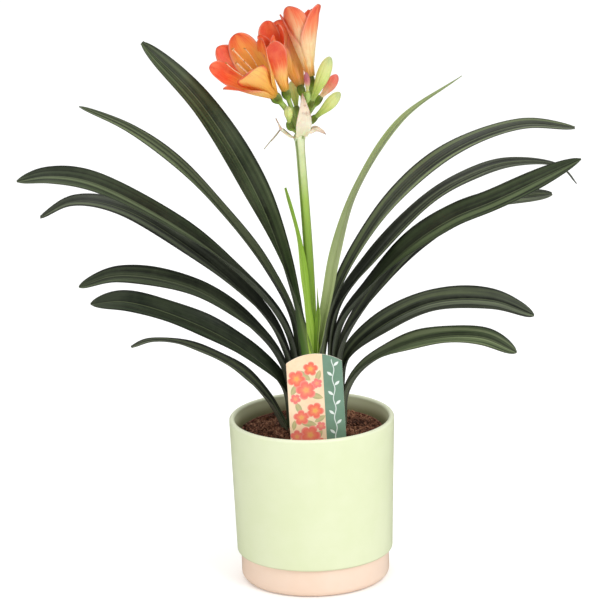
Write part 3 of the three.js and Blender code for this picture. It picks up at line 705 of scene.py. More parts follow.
def leaf_material(name, along_stops, under, light, dark, lines):
    """Leaf skin: a colour along the blade, bands of painted shade and painted highlight and fine veins that
    run along it, painted shade on the half to the back and beside the rib, a pale rib and edge, a painted
    grey sheen and a dull underside."""
    finish = {"Specular IOR Level": 0.22, "Coat Weight": 0.08, "Coat Roughness": 0.2}
    material, tree, shader = new_material(name, finish)
    across, along = strip_coordinates(tree)
    place = object_coordinates(tree)
    strands = stranded(tree, across, along, lines, 3.0)
    fresh, lush, painted_sheen, pale = [attribute(tree, tint) for tint in ("tone", "lush", "painted_sheen", "pale")]
    base = ramp(tree, along, along_stops)
    base = mix(tree, lush, base, "50692c")
    base = mix(tree, fresh, base, "5f9428")
    # The margin that clasps the leaves inside is the brightest part of a fresh base.
    clasp = times(tree, fresh, spread(tree, across, 0.4, 0.05, 0.0, 0.9))
    base = mix(tree, clasp, base, "b4d264")
    # The bands of painted shade and painted highlight differ from leaf to leaf, because the tints of the
    # leaf also shift them.
    seed = math_node(tree, "MULTIPLY_ADD", lush, 31.0, times(tree, painted_sheen, 17.0))
    band_place = math_node(tree, "MULTIPLY_ADD", across, 5.0, seed)
    vector = node(tree, "CombineXYZ", {"X": band_place, "Y": along}).outputs[0]
    bands = noise_value(tree, vector, 1.0, 2.0)
    # Painted grey sheen: the underside's grey-green is laid over the blade, most on its lighter bands and
    # towards its tip, as far as the leaf's sheen tint says.
    sheen_share = times(tree, painted_sheen, spread(tree, math_node(tree, "ADD", bands, along), 0.3, 1.2, 0.3, 1.0))
    base = mix(tree, sheen_share, base, under)
    # Painted shade in the darker bands, except on a fresh base, and painted highlight in the lighter ones,
    # as far as the pale tint says.
    aged = spread(tree, fresh, 0.7, 0.1)
    colour = mix(tree, times(tree, spread(tree, bands, 0.5, 0.38, 0.0, 0.92), aged), base, dark)
    lit = times(tree, spread(tree, bands, 0.5, 0.62), pale)
    colour = mix(tree, lit, colour, light)
    colour = mix(tree, times(tree, strands["Tone"], 0.15), colour, light)
    # Painted shade: the half of the blade that lies to the back is darker, and both halves darken beside the
    # rib, in its groove.
    far = times(tree, spread(tree, across, 0.46, 0.56, 0.0, 0.5), spread(tree, fresh, 0.5, 0.0))
    colour = mix(tree, far, colour, dark)
    off_rib = off_middle(tree, across)
    sunk = times(tree, spread(tree, off_rib, 0.12, 0.03, 0.0, 0.6), aged)
    colour = mix(tree, sunk, colour, dark)
    colour = mix(tree, spread(tree, off_rib, 0.025, 0.01, 0.0, 0.3), colour, light)
    colour = mix(tree, times(tree, spread(tree, off_rib, 0.4, 0.46, 0.0, 0.7), aged), colour, dark)
    colour = mix(tree, spread(tree, off_rib, 0.485, 0.5, 0.0, 0.6), colour, under)
    beneath = times(tree, spread(tree, attribute(tree, "upside"), 0.56, 0.44, 0.0, 0.7), aged)
    colour = mix(tree, beneath, colour, under)
    patches = skinned(tree, shader, colour, light, 0.08, 32.0, place)
    feed(tree, shader, {"Roughness": spread(tree, patches, 0.4, 0.9, 0.3, 0.45)})
    ridges = math_node(tree, "MULTIPLY_ADD", strands["Height"], 0.35, times(tree, bands, 0.8))
    waves = math_node(tree, "ADD", ridges, noise_value(tree, place, 38.0, 1.0))
    bumped(tree, shader, waves, 0.6, 0.9 * MM)
    return material


MATURE_STOPS = [
    (0.0, "cdd3a0"), (0.045, "9db35c"), (0.1, "45672a"), (0.19, "1f341b"),
    (0.4, "1d2b1b"), (0.97, "1f2a1e"), (1.0, "414a33"),
]


def leaf(name, spec, number, material, slot):
    """Makes one leaf, with its tints on its vertices. Its number shifts the waves of its edges."""
    bm = bmesh.new()
    fresh = spec.get("fresh", 0.25)

    def tone(s):
        return fresh * (1 - smoothstep(s, 0.04, 0.2 + 0.35 * fresh))

    add_tube(bm, LEAF_SIDES, LEAF_ROWS, leaf_place(spec, number), crowd=1.25, tone=tone)
    for tint in ("lush", "painted_sheen", "pale"):
        layer = bm.verts.layers.float.new(tint)
        for vert in bm.verts:
            vert[layer] = spec.get(tint, 0.1)
    finished(bm, name.replace("leaf", "blade"), [material], slot, name)


# The colours after the stops: the underside, which also gives the painted sheen, the lighter colour of the
# veins, rib and painted highlight, and the colour of the painted shade.
mature_leaf = leaf_material("leaf_mature", MATURE_STOPS, "5a5d55", "88956c", "0b0e0b", 60.0)
for number, (name, spec) in enumerate(LEAVES.items()):
    leaf(name, spec, number, mature_leaf, "leaf_mature")

# ---------------------------------------------------------------- young leaves
# Three narrow young leaves stand up beside the flower stalk. They are still bright green, folded deep at
# the foot, and the shortest is only a pointed sheath.

YOUNG_LEAVES = {
    "leaf_young_left": dict(
        seat=-2.7, seat_y=-5.5, width=16, turn=64, turn_from=0, blunt=1.7, fold=0.9,
        through=[
            (3, -8, 204), (1, -9, 228), (-1.6, -10, 251), (-3, -11, 275), (-8, -12, 325), (-18, -14, 370),
        ],
    ),
    "leaf_young_right": dict(
        seat=13, seat_y=-2, width=15, turn=50, turn_end=24, turn_from=0, blunt=3, fold=0.9,
        through=[
            (7, -5, 205), (10, -4, 222), (13.5, -3, 240), (18, -1.5, 262), (27.5, -1, 308),
            (47, -4, 366), (87, -9, 428), (141, -14, 468),
        ],
    ),
    "leaf_young_short": dict(
        seat=9, seat_y=-9, width=9, turn=40, turn_from=-0.3, blunt=2, fold=0.9, fresh=0, lush=1, pale=0,
        through=[(6, -9.5, 205), (6.6, -9.5, 228), (8.8, -9.5, 252), (8, -9, 275)],
    ),
}
BRIGHT_STOPS = [
    (0.0, "d3dba0"), (0.2, "d2ea74"), (0.5, "aace4e"), (0.8, "7ba23e"), (0.93, "567a30"), (1.0, "3b5226"),
]
LONG_STOPS = [
    (0.0, "d3dba0"), (0.12, "cad690"), (0.4, "c0ca94"), (0.6, "999f86"), (0.8, "6e7d5a"), (1.0, "4a5f3a"),
]
bright_leaf = leaf_material("leaf_young_bright", BRIGHT_STOPS, "c4da80", "cfe670", "84ac34", 36.0)
long_leaf = leaf_material("leaf_young_long", LONG_STOPS, "b3be98", "d4deaa", "98a86c", 36.0)
young_looks = [(3, bright_leaf), (5, long_leaf), (8, bright_leaf)]  # what shifts its waves, and its skin
for (name, spec), (number, skin) in zip(YOUNG_LEAVES.items(), young_looks):
    leaf(name, spec, number, skin, "leaf_young")

# ---------------------------------------------------------------- flower stalk
# One fleshy two-edged scape, and at its top the knob that every bloom and bud springs from on a slender
# stalk of its own. Each of those swells into an olive-green ovary under its flower.

STALK_FOOT = Vector((3.4, 0.5, 137.3)) * MM
STALK_TOP = Vector((-4, 1, 412)) * MM
STALK_BOW = 2.4 * MM
STALK_FOOT_RADII = (4.3 * MM, 5.8 * MM)
STALK_TOP_RADII = (4.0 * MM, 4.8 * MM)
KNOB_RADIUS = 5.4 * MM
PEDICEL_RADIUS = 1.9 * MM
OVARY_RADIUS = 3.9 * MM
OVARY_LENGTH = 10 * MM
BUD_STALK_SHARE = 0.2  # of the bud's radius, in millimetres

# The colours of the scape, the stalks and the ovaries, in the order of their tones.
STEM_STOPS = [
    (0.0, "739429"), (0.12, "a0bc58"), (0.2, "e8ebc8"),
    (0.38, "a0bb5a"), (0.6, "7f9636"), (1.0, "535a1a"),
]

# The top of each ovary and the middle of the mouth, in millimetres.
BLOOM_AXES = {
    "bloom_1": [(-25.5, -12.5, 454.5), (-60, -42, 500)],
    "bloom_2": [(-15.6, -5, 457.6), (-31, -13, 512)],
    "bloom_3": [(-2, 8, 457.5), (-18, 40, 507)],
    "bloom_4": [(7.2, 2, 467.6), (-1, 14, 526)],
}
BLOOM_OVARIES = (1.3, 1.1, 1.0, 1.0)  # how thick each is, as a share of OVARY_RADIUS

# The top of each ovary, the tip and the widest radius, in millimetres.
BUDS = {
    "bud_large": [(8, -6, 447.5), (25, -9, 487.5), 6.2],
    "bud_coral": [(16, 12, 446), (31, 17, 465), 5],
    "bud_low_right": [(11, -5, 432), (33, -10, 455), 5.2],
    "bud_pink": [(4, -7, 455), (3.4, -9, 474), 2.8],
    "bud_low_left": [(-13, -9, 428), (-14, -12, 444), 4],
    "bud_back": [(-6, 17, 436), (-10, 30, 457), 4.6],
}


def bezier(*points):
    """A function that gives the place and heading on a cubic Bezier curve."""

    def line(s):
        row = list(points)
        while len(row) > 2:
            row = [a.lerp(b, s) for a, b in zip(row, row[1:])]
        return row[0].lerp(row[1], s), (row[1] - row[0]).normalized()

    return line


def rod_place(line, radius_at):
    """The function that bends a tube into a rod along a line. radius_at(turn, s) is its radius."""

    def place(turn, s):
        centre, heading = line(s)
        across = heading.cross(Vector((0, 1, 0))).normalized()
        up = across.cross(heading)
        return centre + (across * math.cos(turn) + up * math.sin(turn)) * radius_at(turn, s)

    return place


def add_scape(bm):
    """The main stalk: oval, with an edge down each side and shallow furrows."""

    def radius_at(turn, s):
        wide, deep = [lerp(a, b, s) for a, b in zip(STALK_FOOT_RADII, STALK_TOP_RADII)]
        oval = wide * deep / math.hypot(deep * math.cos(turn), wide * math.sin(turn))
        furrow = 0.035 * math.cos(6 * turn + 0.8) + 0.05 * math.exp(-((math.sin(turn - 0.6) / 0.3) ** 2))
        flare = 1 + 0.16 * smoothstep(s, 0.95, 1.0)
        return oval * (1 + furrow) * flare

    middle = STALK_FOOT.lerp(STALK_TOP, 0.55) + Vector((STALK_BOW, 0, 0))
    line = smooth_line([STALK_FOOT, middle, STALK_TOP])
    add_tube(bm, 36, 60, rod_place(line, radius_at), tone=lambda s: 0.19 * smoothstep(s, 0.5, 1.0))


def add_pedicel(bm, base, tip, scale, green=1.0):
    """The stalk of one bloom or bud, which swells into a three-sided ovary at its end."""
    end = Vector(base) * MM
    axis = (Vector(tip) * MM - end).normalized()
    reach = (end - STALK_TOP).length
    rise = STALK_TOP.lerp(end, 0.3)
    rise.z = STALK_TOP.z + 0.45 * reach
    line = bezier(STALK_TOP, rise, end - axis * 0.4 * reach, end + axis * 0.6 * MM)
    thin = PEDICEL_RADIUS * scale
    swell = OVARY_RADIUS * scale - thin
    ovary_share = OVARY_LENGTH / (1.08 * reach)

    def in_ovary(s):
        return max(0.0, (s - 1 + ovary_share) / ovary_share)

    def radius_at(turn, s):
        lobes = 1 + 0.07 * math.cos(3 * turn) * min(1.0, 3 * in_ovary(s))
        return (thin + swell * math.sin(math.pi * 0.86 * in_ovary(s)) ** 0.8) * lobes

    def tone(s):
        return 0.35 + 0.65 * green * min(1.0, 1.6 * in_ovary(s))

    add_tube(bm, 18, 30, rod_place(line, radius_at), tone=tone)


def flower_stalk():
    bm = bmesh.new()
    add_scape(bm)

    def knob(turn, s):
        height = math.sin(math.pi * (s - 0.5))
        radius = KNOB_RADIUS * math.sqrt(max(1e-4, 1 - height**2))
        return STALK_TOP + Vector((radius * math.cos(turn), radius * math.sin(turn), KNOB_RADIUS * height))

    add_tube(bm, 24, 16, knob, tone=lambda s: 0.2)
    for (base, mouth), scale in zip(BLOOM_AXES.values(), BLOOM_OVARIES):
        add_pedicel(bm, base, mouth, scale)
    for base, tip, radius in BUDS.values():
        ripe = radius > 3
        scale = min(0.85, BUD_STALK_SHARE * radius) if ripe else 0.9
        add_pedicel(bm, base, tip, scale, 1.0 if ripe else 0.0)
    return bm


def stalk_material():
    finish = {"Roughness": 0.38, "Subsurface Weight": 0.12, "Subsurface Scale": 2 * MM, "Coat Weight": 0.1}
    material, tree, shader = new_material("flower_stem", finish)
    across, along = strip_coordinates(tree)
    strands = stranded(tree, across, along, 26.0)
    colour = ramp(tree, attribute(tree, "tone"), STEM_STOPS)
    colour = mix(tree, times(tree, strands["Tone"], 0.4), colour, "d3e39a", "SOFT_LIGHT")
    # A darker green line runs down beside one edge of the scape, and the other edge is greyer.
    shoulder = off_middle(tree, across, 0.8)
    colour = mix(tree, spread(tree, shoulder, 0.17, 0.05, 0.0, 0.75), colour, "6a8c1e")
    colour = mix(tree, spread(tree, across, 0.25, 0.02, 0.0, 0.5), colour, "9aab74")
    skinned(tree, shader, colour, "8fb04c", 0.3, 60.0, object_coordinates(tree))
    bumped(tree, shader, strands["Height"], 0.25, 0.3 * MM)
    return material


finished(flower_stalk(), "flower_stalk_dressed", [stalk_material()], "flower_stem", "flower_stalk")

# ---------------------------------------------------------------- blooms
# Each bloom is a funnel of six soft tepals, three broad inner ones and three narrower outer ones outside
# them. They are yellow in the tube and throat and coral towards their tips, redder inside than outside.

BLOOM_TUBE_RADIUS = 3.4 * MM
TEPAL_THICKNESS = 0.8 * MM
TEPAL_RUFFLE = 1.1 * MM
TEPAL_KEEL = 0.35 * MM
OUTER_LAYER = 1.3 * MM

# How late each funnel opens: below 1 it widens at once, above 1 only towards the mouth.
FLARES = {"bloom_1": 0.9, "bloom_2": 0.85, "bloom_3": 0.85, "bloom_4": 1.25}

# Each tepal: its direction from the bloom's middle in degrees (0 to the right seen from the front, 90 away
# from the front), how far out and how far up its tip is, its width and how far its tip curls, in
# millimetres, and how much further up it stays yellow. Broad inner ones and narrower outer ones take turns.
TEPALS = {
    "bloom_1": [
        (73, 27, 62.5, 33, 2.0, 0.26), (112, 28.5, 62, 27, 3.5, -0.02), (150, 28, 60.5, 30, 3.0, -0.06),
        (211, 25, 55, 24, 3.0, -0.08), (270, 20, 58, 34, 2.0, 0.6), (374, 24, 57, 28, 1.5, 0.2),
    ],
    "bloom_2": [
        (-20, 5, 56, 20, 1.0, 0.1), (38, 12, 61, 22, 2.0, 0.0), (82, 14, 65, 25, 2.0, -0.05),
        (150, 6, 58, 20, 2.0, 0.0), (215, 10, 54, 22, 1.5, 0.1), (283, 14, 57, 21, 3.0, -0.3),
    ],
    "bloom_3": [
        (30, 14, 60, 26, 2.0, 0.0), (90, 14, 60, 22, 2.0, 0.0), (150, 14, 60, 26, 2.0, 0.0),
        (210, 18, 60, 28, 2.0, 0.0), (268, 17, 63, 30, 0.0, 0.05), (330, 14, 60, 22, 2.0, 0.0),
    ],
    "bloom_4": [
        (-121, 18, 68, 31, -1.5, 0.06), (-32, 16.5, 66, 25, 4.0, -0.06), (5, 12, 62, 20, -1.0, 0.0),
        (56, 12, 62, 20, 0.0, 0.0), (114, 15, 64, 28, 0.0, 0.0), (174, 17, 62, 24, 0.0, 0.0),
    ],
}


def bloom_frame(name):
    """A bloom's seat, its axis, and the directions to its right and to its back across that axis."""
    base, mouth = [Vector(point) * MM for point in BLOOM_AXES[name]]
    axis = (mouth - base).normalized()
    right = axis.cross(Vector((0, -1, 0))).normalized()
    return base, axis, right, axis.cross(right)


def tepal_place(name, number):
    """The function that bends a tube into one tepal."""
    base, axis, right, back = bloom_frame(name)
    direction, reach, rise, width, curl, _ = TEPALS[name][number]
    outer = number % 2 == 1
    even = 60 * number + sum(tepal[0] - 60 * k for k, tepal in enumerate(TEPALS[name])) / 6
    reach, rise, width, curl = reach * MM, rise * MM, width * MM, curl * MM
    phase = 1.7 * number + 0.05 * direction

    def middle(s):
        opening = s ** FLARES[name] * smoothstep(s, -0.25, 0.12)
        radius = BLOOM_TUBE_RADIUS + (reach - BLOOM_TUBE_RADIUS) * opening + curl * s**5
        return radius, rise * (s - 0.05 * s**5)

    def half_width(s, funnel):
        roundness = 0.62 if outer else 0.5
        lobe = width / 2 * max(0.0, 1 - max(0.0, (s - 0.55) / 0.45) ** 2.4) ** roundness
        return max(0.25 * MM, lerp(0.68 * funnel, lobe, smoothstep(s, 0.12, 0.6)))

    def place(turn, s):
        radius, height = middle(s)
        next_radius, next_height = middle(s + 0.01)
        slope = math.atan2(next_radius - radius, next_height - height)
        angle = math.radians(lerp(even, direction, smoothstep(s, 0.05, 0.6)))
        radial = right * math.cos(angle) + back * math.sin(angle)
        around = back * math.cos(angle) - right * math.sin(angle)
        u, face = math.cos(turn), math.sin(turn)
        bend_radius = radius * lerp(1.0, 1.5, smoothstep(s, 0.3, 1.0))
        bend = u * half_width(s, radius) / bend_radius
        outward = radial * math.cos(bend) + around * math.sin(bend)
        spot = radial * (radius - bend_radius) + outward * bend_radius + axis * height
        normal = outward * math.cos(slope) - axis * math.sin(slope)
        layer = OUTER_LAYER * smoothstep(s, 0.0, 0.5) if outer else 0.0
        ruffle = TEPAL_RUFFLE * math.sin(9 * s + 4 * u + phase) * abs(u) ** 2 * smoothstep(s, 0.4, 0.8)
        keel = TEPAL_KEEL * math.exp(-((u / 0.15) ** 2)) * (1 - s)
        thickness = TEPAL_THICKNESS * lerp(1.0, 0.6, s) * abs(face) ** 0.5
        skin = math.copysign(thickness / 2, -face)
        return base + spot + normal * (layer + ruffle + keel + skin)

    return place


def bloom(name):
    bm = bmesh.new()
    for number in range(6):
        yellow = TEPALS[name][number][5]
        add_tube(bm, 32, 44, tepal_place(name, number), crowd=1.5, tone=lambda s: yellow * min(1.0, 2 * s))
    return bm


# The colours of the inside and of the outside of the tepals, from the foot to the tip.
INSIDE_STOPS = [
    (0.0, "eec85a"), (0.28, "ffcf68"), (0.42, "ffb255"), (0.56, "f77d38"), (0.75, "e3461c"), (1.0, "ea5630"),
]
OPEN_OUTSIDE = [
    (0.0, "a09a30"), (0.05, "e0a030"), (0.15, "f5b947"), (0.4, "fbcb72"),
    (0.56, "fdb472"), (0.68, "fa8450"), (0.82, "f0582f"), (1.0, "e64f3c"),
]
PALE_OUTSIDE = [
    (0.0, "b3a038"), (0.04, "f0a44a"), (0.1, "fcc876"), (0.17, "fee3a6"),
    (0.46, "fee2b0"), (0.58, "fdc291"), (0.72, "fc8d5f"), (0.86, "f5643f"), (1.0, "e6503f"),
]
OCHRE_OUTSIDE = [
    (0.0, "9c9230"), (0.05, "eda43e"), (0.3, "fcc262"), (0.5, "fdbe78"),
    (0.64, "fb9a62"), (0.82, "f4623a"), (1.0, "e64f3c"),
]
OUTSIDES = {
    "bloom_1": OPEN_OUTSIDE, "bloom_2": OPEN_OUTSIDE, "bloom_3": OCHRE_OUTSIDE, "bloom_4": PALE_OUTSIDE,
}


def tepal_material(name, outside_stops):
    finish = {"Subsurface Weight": 0.22, "Subsurface Scale": 2.5 * MM, "Subsurface Radius": (1.0, 0.45, 0.2)}
    material, tree, shader = new_material(name, finish)
    across, along = strip_coordinates(tree)
    strands = stranded(tree, across, along, 24.0, 2.5)
    off_rib = off_middle(tree, across)
    # The yellow runs further up along the middle of each tepal, and in streaks beside it.
    streak = times(tree, math_node(tree, "SUBTRACT", strands["Tone"], 0.5), 0.2)
    middle = spread(tree, off_rib, 0.22, 0.0, 0.0, 0.1)
    reach = math_node(tree, "SUBTRACT", math_node(tree, "ADD", along, streak), middle)
    tone = attribute(tree, "tone")
    reach = math_node(tree, "SUBTRACT", reach, tone)
    reach = math_node(tree, "MAXIMUM", reach, times(tree, along, 0.5))
    inside, outside = ramp(tree, reach, INSIDE_STOPS), ramp(tree, reach, outside_stops)
    colour = mix(tree, spread(tree, attribute(tree, "upside"), 0.42, 0.58), outside, inside)
    blush = times(tree, spread(tree, off_rib, 0.36, 0.5, 0.0, 0.7), spread(tree, along, 0.3, 0.7))
    colour = mix(tree, blush, colour, "f7a193")
    # A tepal that is yellow almost to its tip still has a coral margin.
    margin = math_node(tree, "MAXIMUM", spread(tree, off_rib, 0.4, 0.46), spread(tree, along, 0.9, 0.95))
    margin = times(tree, margin, spread(tree, tone, 0.4, 0.6))
    colour = mix(tree, times(tree, margin, spread(tree, along, 0.5, 0.75)), colour, "e4512f")
    rim = times(tree, spread(tree, off_rib, 0.465, 0.495), spread(tree, along, 0.45, 0.8))
    rim = times(tree, math_node(tree, "MAXIMUM", rim, spread(tree, along, 0.98, 1.0)), 0.85)
    colour = mix(tree, rim, colour, "a04a3c")
    veins = spread(tree, strands["Tone"], 0.5, 0.0, 0.0, 0.22)
    colour = mix(tree, veins, colour, "e0442a", "MULTIPLY")
    skinned(tree, shader, colour, "fb9a5e", 0.3, 110.0, object_coordinates(tree))
    feed(tree, shader, {"Roughness": spread(tree, strands["Tone"], 0.0, 1.0, 0.42, 0.58)})
    bumped(tree, shader, strands["Height"], 0.4, 0.35 * MM)
    return material


for name, stops in OUTSIDES.items():
    skin = tepal_material(name + "_skin", stops)
    finished(bloom(name), name + "_tepals", [skin], "petal", name + "_petals")

# ---------------------------------------------------------------- stamens
# Six pale filaments stand in each throat, each with a powdery yellow anther balanced across its tip, and in
# the middle the longer style, which ends in three short branches.

FILAMENT_RADIUS = 0.65 * MM
ANTHER_RADIUS = 0.6 * MM
ANTHER_LENGTH = 3.0 * MM
STYLE_RADIUS = 0.6 * MM
STYLE_BRANCH_RADIUS = 0.45 * MM
BLOOM_LENGTH = 64 * MM
STAMEN_LEAN = 1.1  # how far the bunch leans to the back of a wide bloom, as a share of its mouth
WIDE_MOUTH = 28 * MM


def stamens(name):
    bm = bmesh.new()
    base, axis, right, back = bloom_frame(name)
    mouth = sum(tepal[1] for tepal in TEPALS[name]) / 6 * MM
    lean = (back - 0.2 * right).normalized() * mouth * STAMEN_LEAN * (mouth / WIDE_MOUTH) ** 2
    opened = lerp(0.7, 1.0, mouth / WIDE_MOUTH)

    def spot(angle, radius, height):
        around = right * math.cos(angle) + back * math.sin(angle)
        return base + around * radius + axis * height + lean * (height / BLOOM_LENGTH) ** 2

    def filament(angle, out, reach):
        bends = [(1.2 * MM, 3 * MM), (1.6 * MM, 0.4 * reach), (out, 0.7 * reach), (out, reach)]
        return bezier(*(spot(angle, radius, height) for radius, height in bends))

    for k in range(6):
        angle = math.radians(60 * k + 15)
        reach = BLOOM_LENGTH * (0.78 + 0.08 * math.sin(2.3 * k)) * opened
        out = mouth * (0.3 + 0.12 * math.cos(1.9 * k))
        line = filament(angle, out, reach)
        add_tube(bm, 8, 22, rod_place(line, lambda turn, s: FILAMENT_RADIUS * lerp(1.0, 0.55, s)))
        tip, heading = line(1.0)
        lay = spot(angle + 1.2, out + 3 * MM, reach + 1.5 * MM) - tip
        lay = lay.normalized() * ANTHER_LENGTH / 2
        anther = bezier(tip - lay, tip - lay / 3 + heading * MM, tip + lay / 3 + heading * MM, tip + lay)

        def plump(turn, s):
            return ANTHER_RADIUS * max(0.02, 1 - abs(2 * s - 1) ** 3) ** 0.5

        add_tube(bm, 10, 12, rod_place(anther, plump), tone=lambda s: 1.0)
    style = filament(1.0, 0.14 * mouth, 0.85 * BLOOM_LENGTH * opened)
    add_tube(bm, 8, 26, rod_place(style, lambda turn, s: STYLE_RADIUS), tone=lambda s: 0.3)
    top, heading = style(1.0)

    def branch_radius(turn, s):
        return STYLE_BRANCH_RADIUS * lerp(1, 0.5, s)

    for k in range(3):
        turned = Matrix.Rotation(math.tau * k / 3, 3, heading) @ right
        bends = [0 * heading, heading, heading + turned, heading + 2 * turned]
        branch = bezier(*(top + bend * MM for bend in bends))
        add_tube(bm, 6, 6, rod_place(branch, branch_radius), tone=lambda s: 0.3)
    return bm


def stamen_material():
    finish = {"Roughness": 0.55, "Subsurface Weight": 0.2, "Subsurface Scale": 1 * MM}
    material, tree, shader = new_material("stamen", finish)
    colour = ramp(tree, attribute(tree, "tone"), [(0.0, "ffeac4"), (0.3, "ffe0ae"), (1.0, "c98a45")])
    powder = skinned(tree, shader, colour, "a8642a", 0.5, 500.0, object_coordinates(tree))
    bumped(tree, shader, powder, 0.5, 0.2 * MM)
    return material


stamen_skin = stamen_material()
for name in BLOOM_AXES:
    finished(stamens(name), name + "_threads", [stamen_skin], "stamen", name + "_stamens")

# ---------------------------------------------------------------- buds
# Closed buds on the right and low in the umbel: waxy clubs in which the six folded tepals show as seams.

BUD_COLOURS = {
    "green": [(0.0, "7f9a35"), (0.25, "adc14c"), (0.6, "d0db7c"), (0.85, "d2d988"), (1.0, "9cae74")],
    "coral": [(0.0, "f1d7a8"), (0.25, "f5c39c"), (0.5, "f18a70"), (0.8, "e8624f"), (1.0, "d4524a")],
    "pink": [(0.0, "b5cc6a"), (0.3, "c3d07c"), (0.42, "d2a08c"), (0.6, "b9606c"), (1.0, "94506a")],
}
BUD_KINDS = {
    "bud_large": "green", "bud_coral": "coral", "bud_low_right": "green",
    "bud_pink": "pink", "bud_low_left": "green", "bud_back": "green",
}
BUD_BOW = 0.6 * MM


def bud(name):
    base, tip, radius = BUDS[name]
    base, tip = Vector(base) * MM, Vector(tip) * MM
    middle = base.lerp(tip, 0.5) + Vector((BUD_BOW, 0, -BUD_BOW))

    def radius_at(turn, s):
        body = lerp(0.42, 1.0, smoothstep(s, 0.02, 0.62))
        point = max(0.002, 1 - max(0.0, (s - 0.6) / 0.4) ** 2.3) ** 0.55
        seams = 1 - 0.09 * abs(math.cos(3 * turn)) ** 14 + 0.035 * math.cos(3 * turn)
        return radius * MM * body * point * seams

    bm = bmesh.new()
    add_tube(bm, 72, 48, rod_place(smooth_line([base, middle, tip]), radius_at), crowd=1.6)
    return bm


def bud_material(kind):
    finish = {"Roughness": 0.4, "Subsurface Weight": 0.15, "Subsurface Scale": 2 * MM, "Coat Weight": 0.12}
    material, tree, shader = new_material("bud_" + kind, finish)
    across, along = strip_coordinates(tree)
    strands = stranded(tree, across, along, 22.0)
    drift = times(tree, math_node(tree, "SUBTRACT", strands["Tone"], 0.5), 0.16)
    colour = ramp(tree, math_node(tree, "ADD", along, drift), BUD_COLOURS[kind])
    patches = "e3e8a8" if kind == "green" else "f6b59c"
    skinned(tree, shader, colour, patches, 0.3, 120.0, object_coordinates(tree))
    bumped(tree, shader, strands["Height"], 0.25, 0.3 * MM)
    return material


bud_skins = {kind: bud_material(kind) for kind in BUD_COLOURS}
for name, kind in BUD_KINDS.items():
    slot = "bud_green" if kind == "green" else "bud_coral"
    finished(bud(name), name + "_closed", [bud_skins[kind]], slot, name)

# ---------------------------------------------------------------- bracts
# The papery bracts that wrapped the umbel before it opened. They are dry and cream-coloured by now, with
# brown crumpled margins, and one is only a thread.

# Each bract: the compass direction in which it leaves the knob (0 is +X, 90 the back), its length and width
# in millimetres, its slope at its start and at its tip and its turn in degrees, how high it sits, and from
# where to where along it the slope changes.
BRACTS = {
    "bract_front": (288, 42, 18, 60, 101, 0, 3, (0.0, 1.0)),
    "bract_right": (330, 27, 10, 56, -38, 40, 2, (0.0, 1.0)),
    "bract_left": (205, 27, 8, 30, 66, -30, 1, (0.0, 1.0)),
    "bract_back": (80, 28, 11, 45, 92, 0, 0, (0.0, 1.0)),
    "bract_thread": (186, 39, 4.4, 44, -49, 0, 0, (0.28, 0.44)),
}
BRACT_THICKNESS = 0.6 * MM
BRACT_CRUMPLE = 0.5 * MM
BRACT_STOPS = [(0.0, "e6e6b4"), (0.3, "f4ebd2"), (0.75, "f0dcc4"), (0.93, "c99f86"), (1.0, "7c5442")]


def bract(name):
    bearing, length, width, start_slope, end_slope, turn_by, height, bend = BRACTS[name]
    outward = Vector((math.cos(math.radians(bearing)), math.sin(math.radians(bearing)), 0))
    start = STALK_TOP + Vector((0, 0, height * MM)) + outward * (KNOB_RADIUS - 0.5 * MM)
    track = [start]
    for k in range(12):
        slope = math.radians(lerp(start_slope, end_slope, smoothstep((k + 0.5) / 12, *bend)))
        step = outward * math.cos(slope) + Vector((0, 0, math.sin(slope)))
        track.append(track[-1] + step * length * MM / 12)
    line = smooth_line(track)

    def place(turn, s):
        centre, along = line(s)
        across = outward.cross(Vector((0, 0, 1))).normalized()
        up = across.cross(along).normalized()
        roll = Matrix.Rotation(math.radians(turn_by) * smoothstep(s, 0, 0.5), 3, along)
        across, up = roll @ across, roll @ up
        u, face = math.cos(turn), math.sin(turn)
        share = lerp(0.6, 1, smoothstep(s, 0, 0.4)) * max(0.03, 1 - s**1.8)
        half_width = width / 2 * MM * share
        crumple = BRACT_CRUMPLE * math.sin(14 * s + 5 * u + bearing) * abs(u) * min(1.0, width / 8)
        cupped = 0.4 * half_width * abs(u) ** 1.6 + crumple
        skin = math.copysign(abs(face) ** 0.5, face) * BRACT_THICKNESS / 2
        return centre + across * (u * half_width) - up * (cupped + skin)

    bm = bmesh.new()
    add_tube(bm, 28, 40, place, crowd=1.3, tone=lambda s: 1.0 if width < 5 else 0.0)
    return bm


def bract_material():
    finish = {"Roughness": 0.7, "Subsurface Weight": 0.25, "Subsurface Scale": 2 * MM}
    material, tree, shader = new_material("bract", finish)
    across, along = strip_coordinates(tree)
    place = object_coordinates(tree)
    strands = stranded(tree, across, along, 16.0, 1.5)
    colour = mix(tree, times(tree, strands["Tone"], 0.4), ramp(tree, along, BRACT_STOPS), "fbf3e0")
    off_rib = off_middle(tree, across)
    ragged = math_node(tree, "ADD", off_rib, times(tree, strands["Height"], 0.03))
    margin = spread(tree, ragged, 0.46, 0.505, 0.0, 0.75)
    colour = mix(tree, times(tree, margin, spread(tree, along, 0.2, 0.6)), colour, "7d4f3a")
    # Brown blotches near the tip, and a drier grey-green thread.
    blotch = spread(tree, noise_value(tree, place, 150.0, 4.0, 0.6), 0.55, 0.66, 0.0, 0.6)
    colour = mix(tree, times(tree, blotch, spread(tree, along, 0.3, 0.6)), colour, "a8795c")
    colour = mix(tree, times(tree, attribute(tree, "tone"), 0.75), colour, "7f8c66")
    skinned(tree, shader, colour, "d9b79b", 0.3, 200.0, place)
    bumped(tree, shader, strands["Height"], 0.8, 0.8 * MM)
    return material


bract_skin = bract_material()
for name in BRACTS:
    finished(bract(name), name + "_dry", [bract_skin], "bract_papery", name)

# ---------------------------------------------------------------- plant label
# A thin plastic-coated card with an arched top and a point to push into the soil. It is printed with loose
# coral blossoms on a cream ground, beside a grey-green strip with a climbing sprig, and its back is plain.

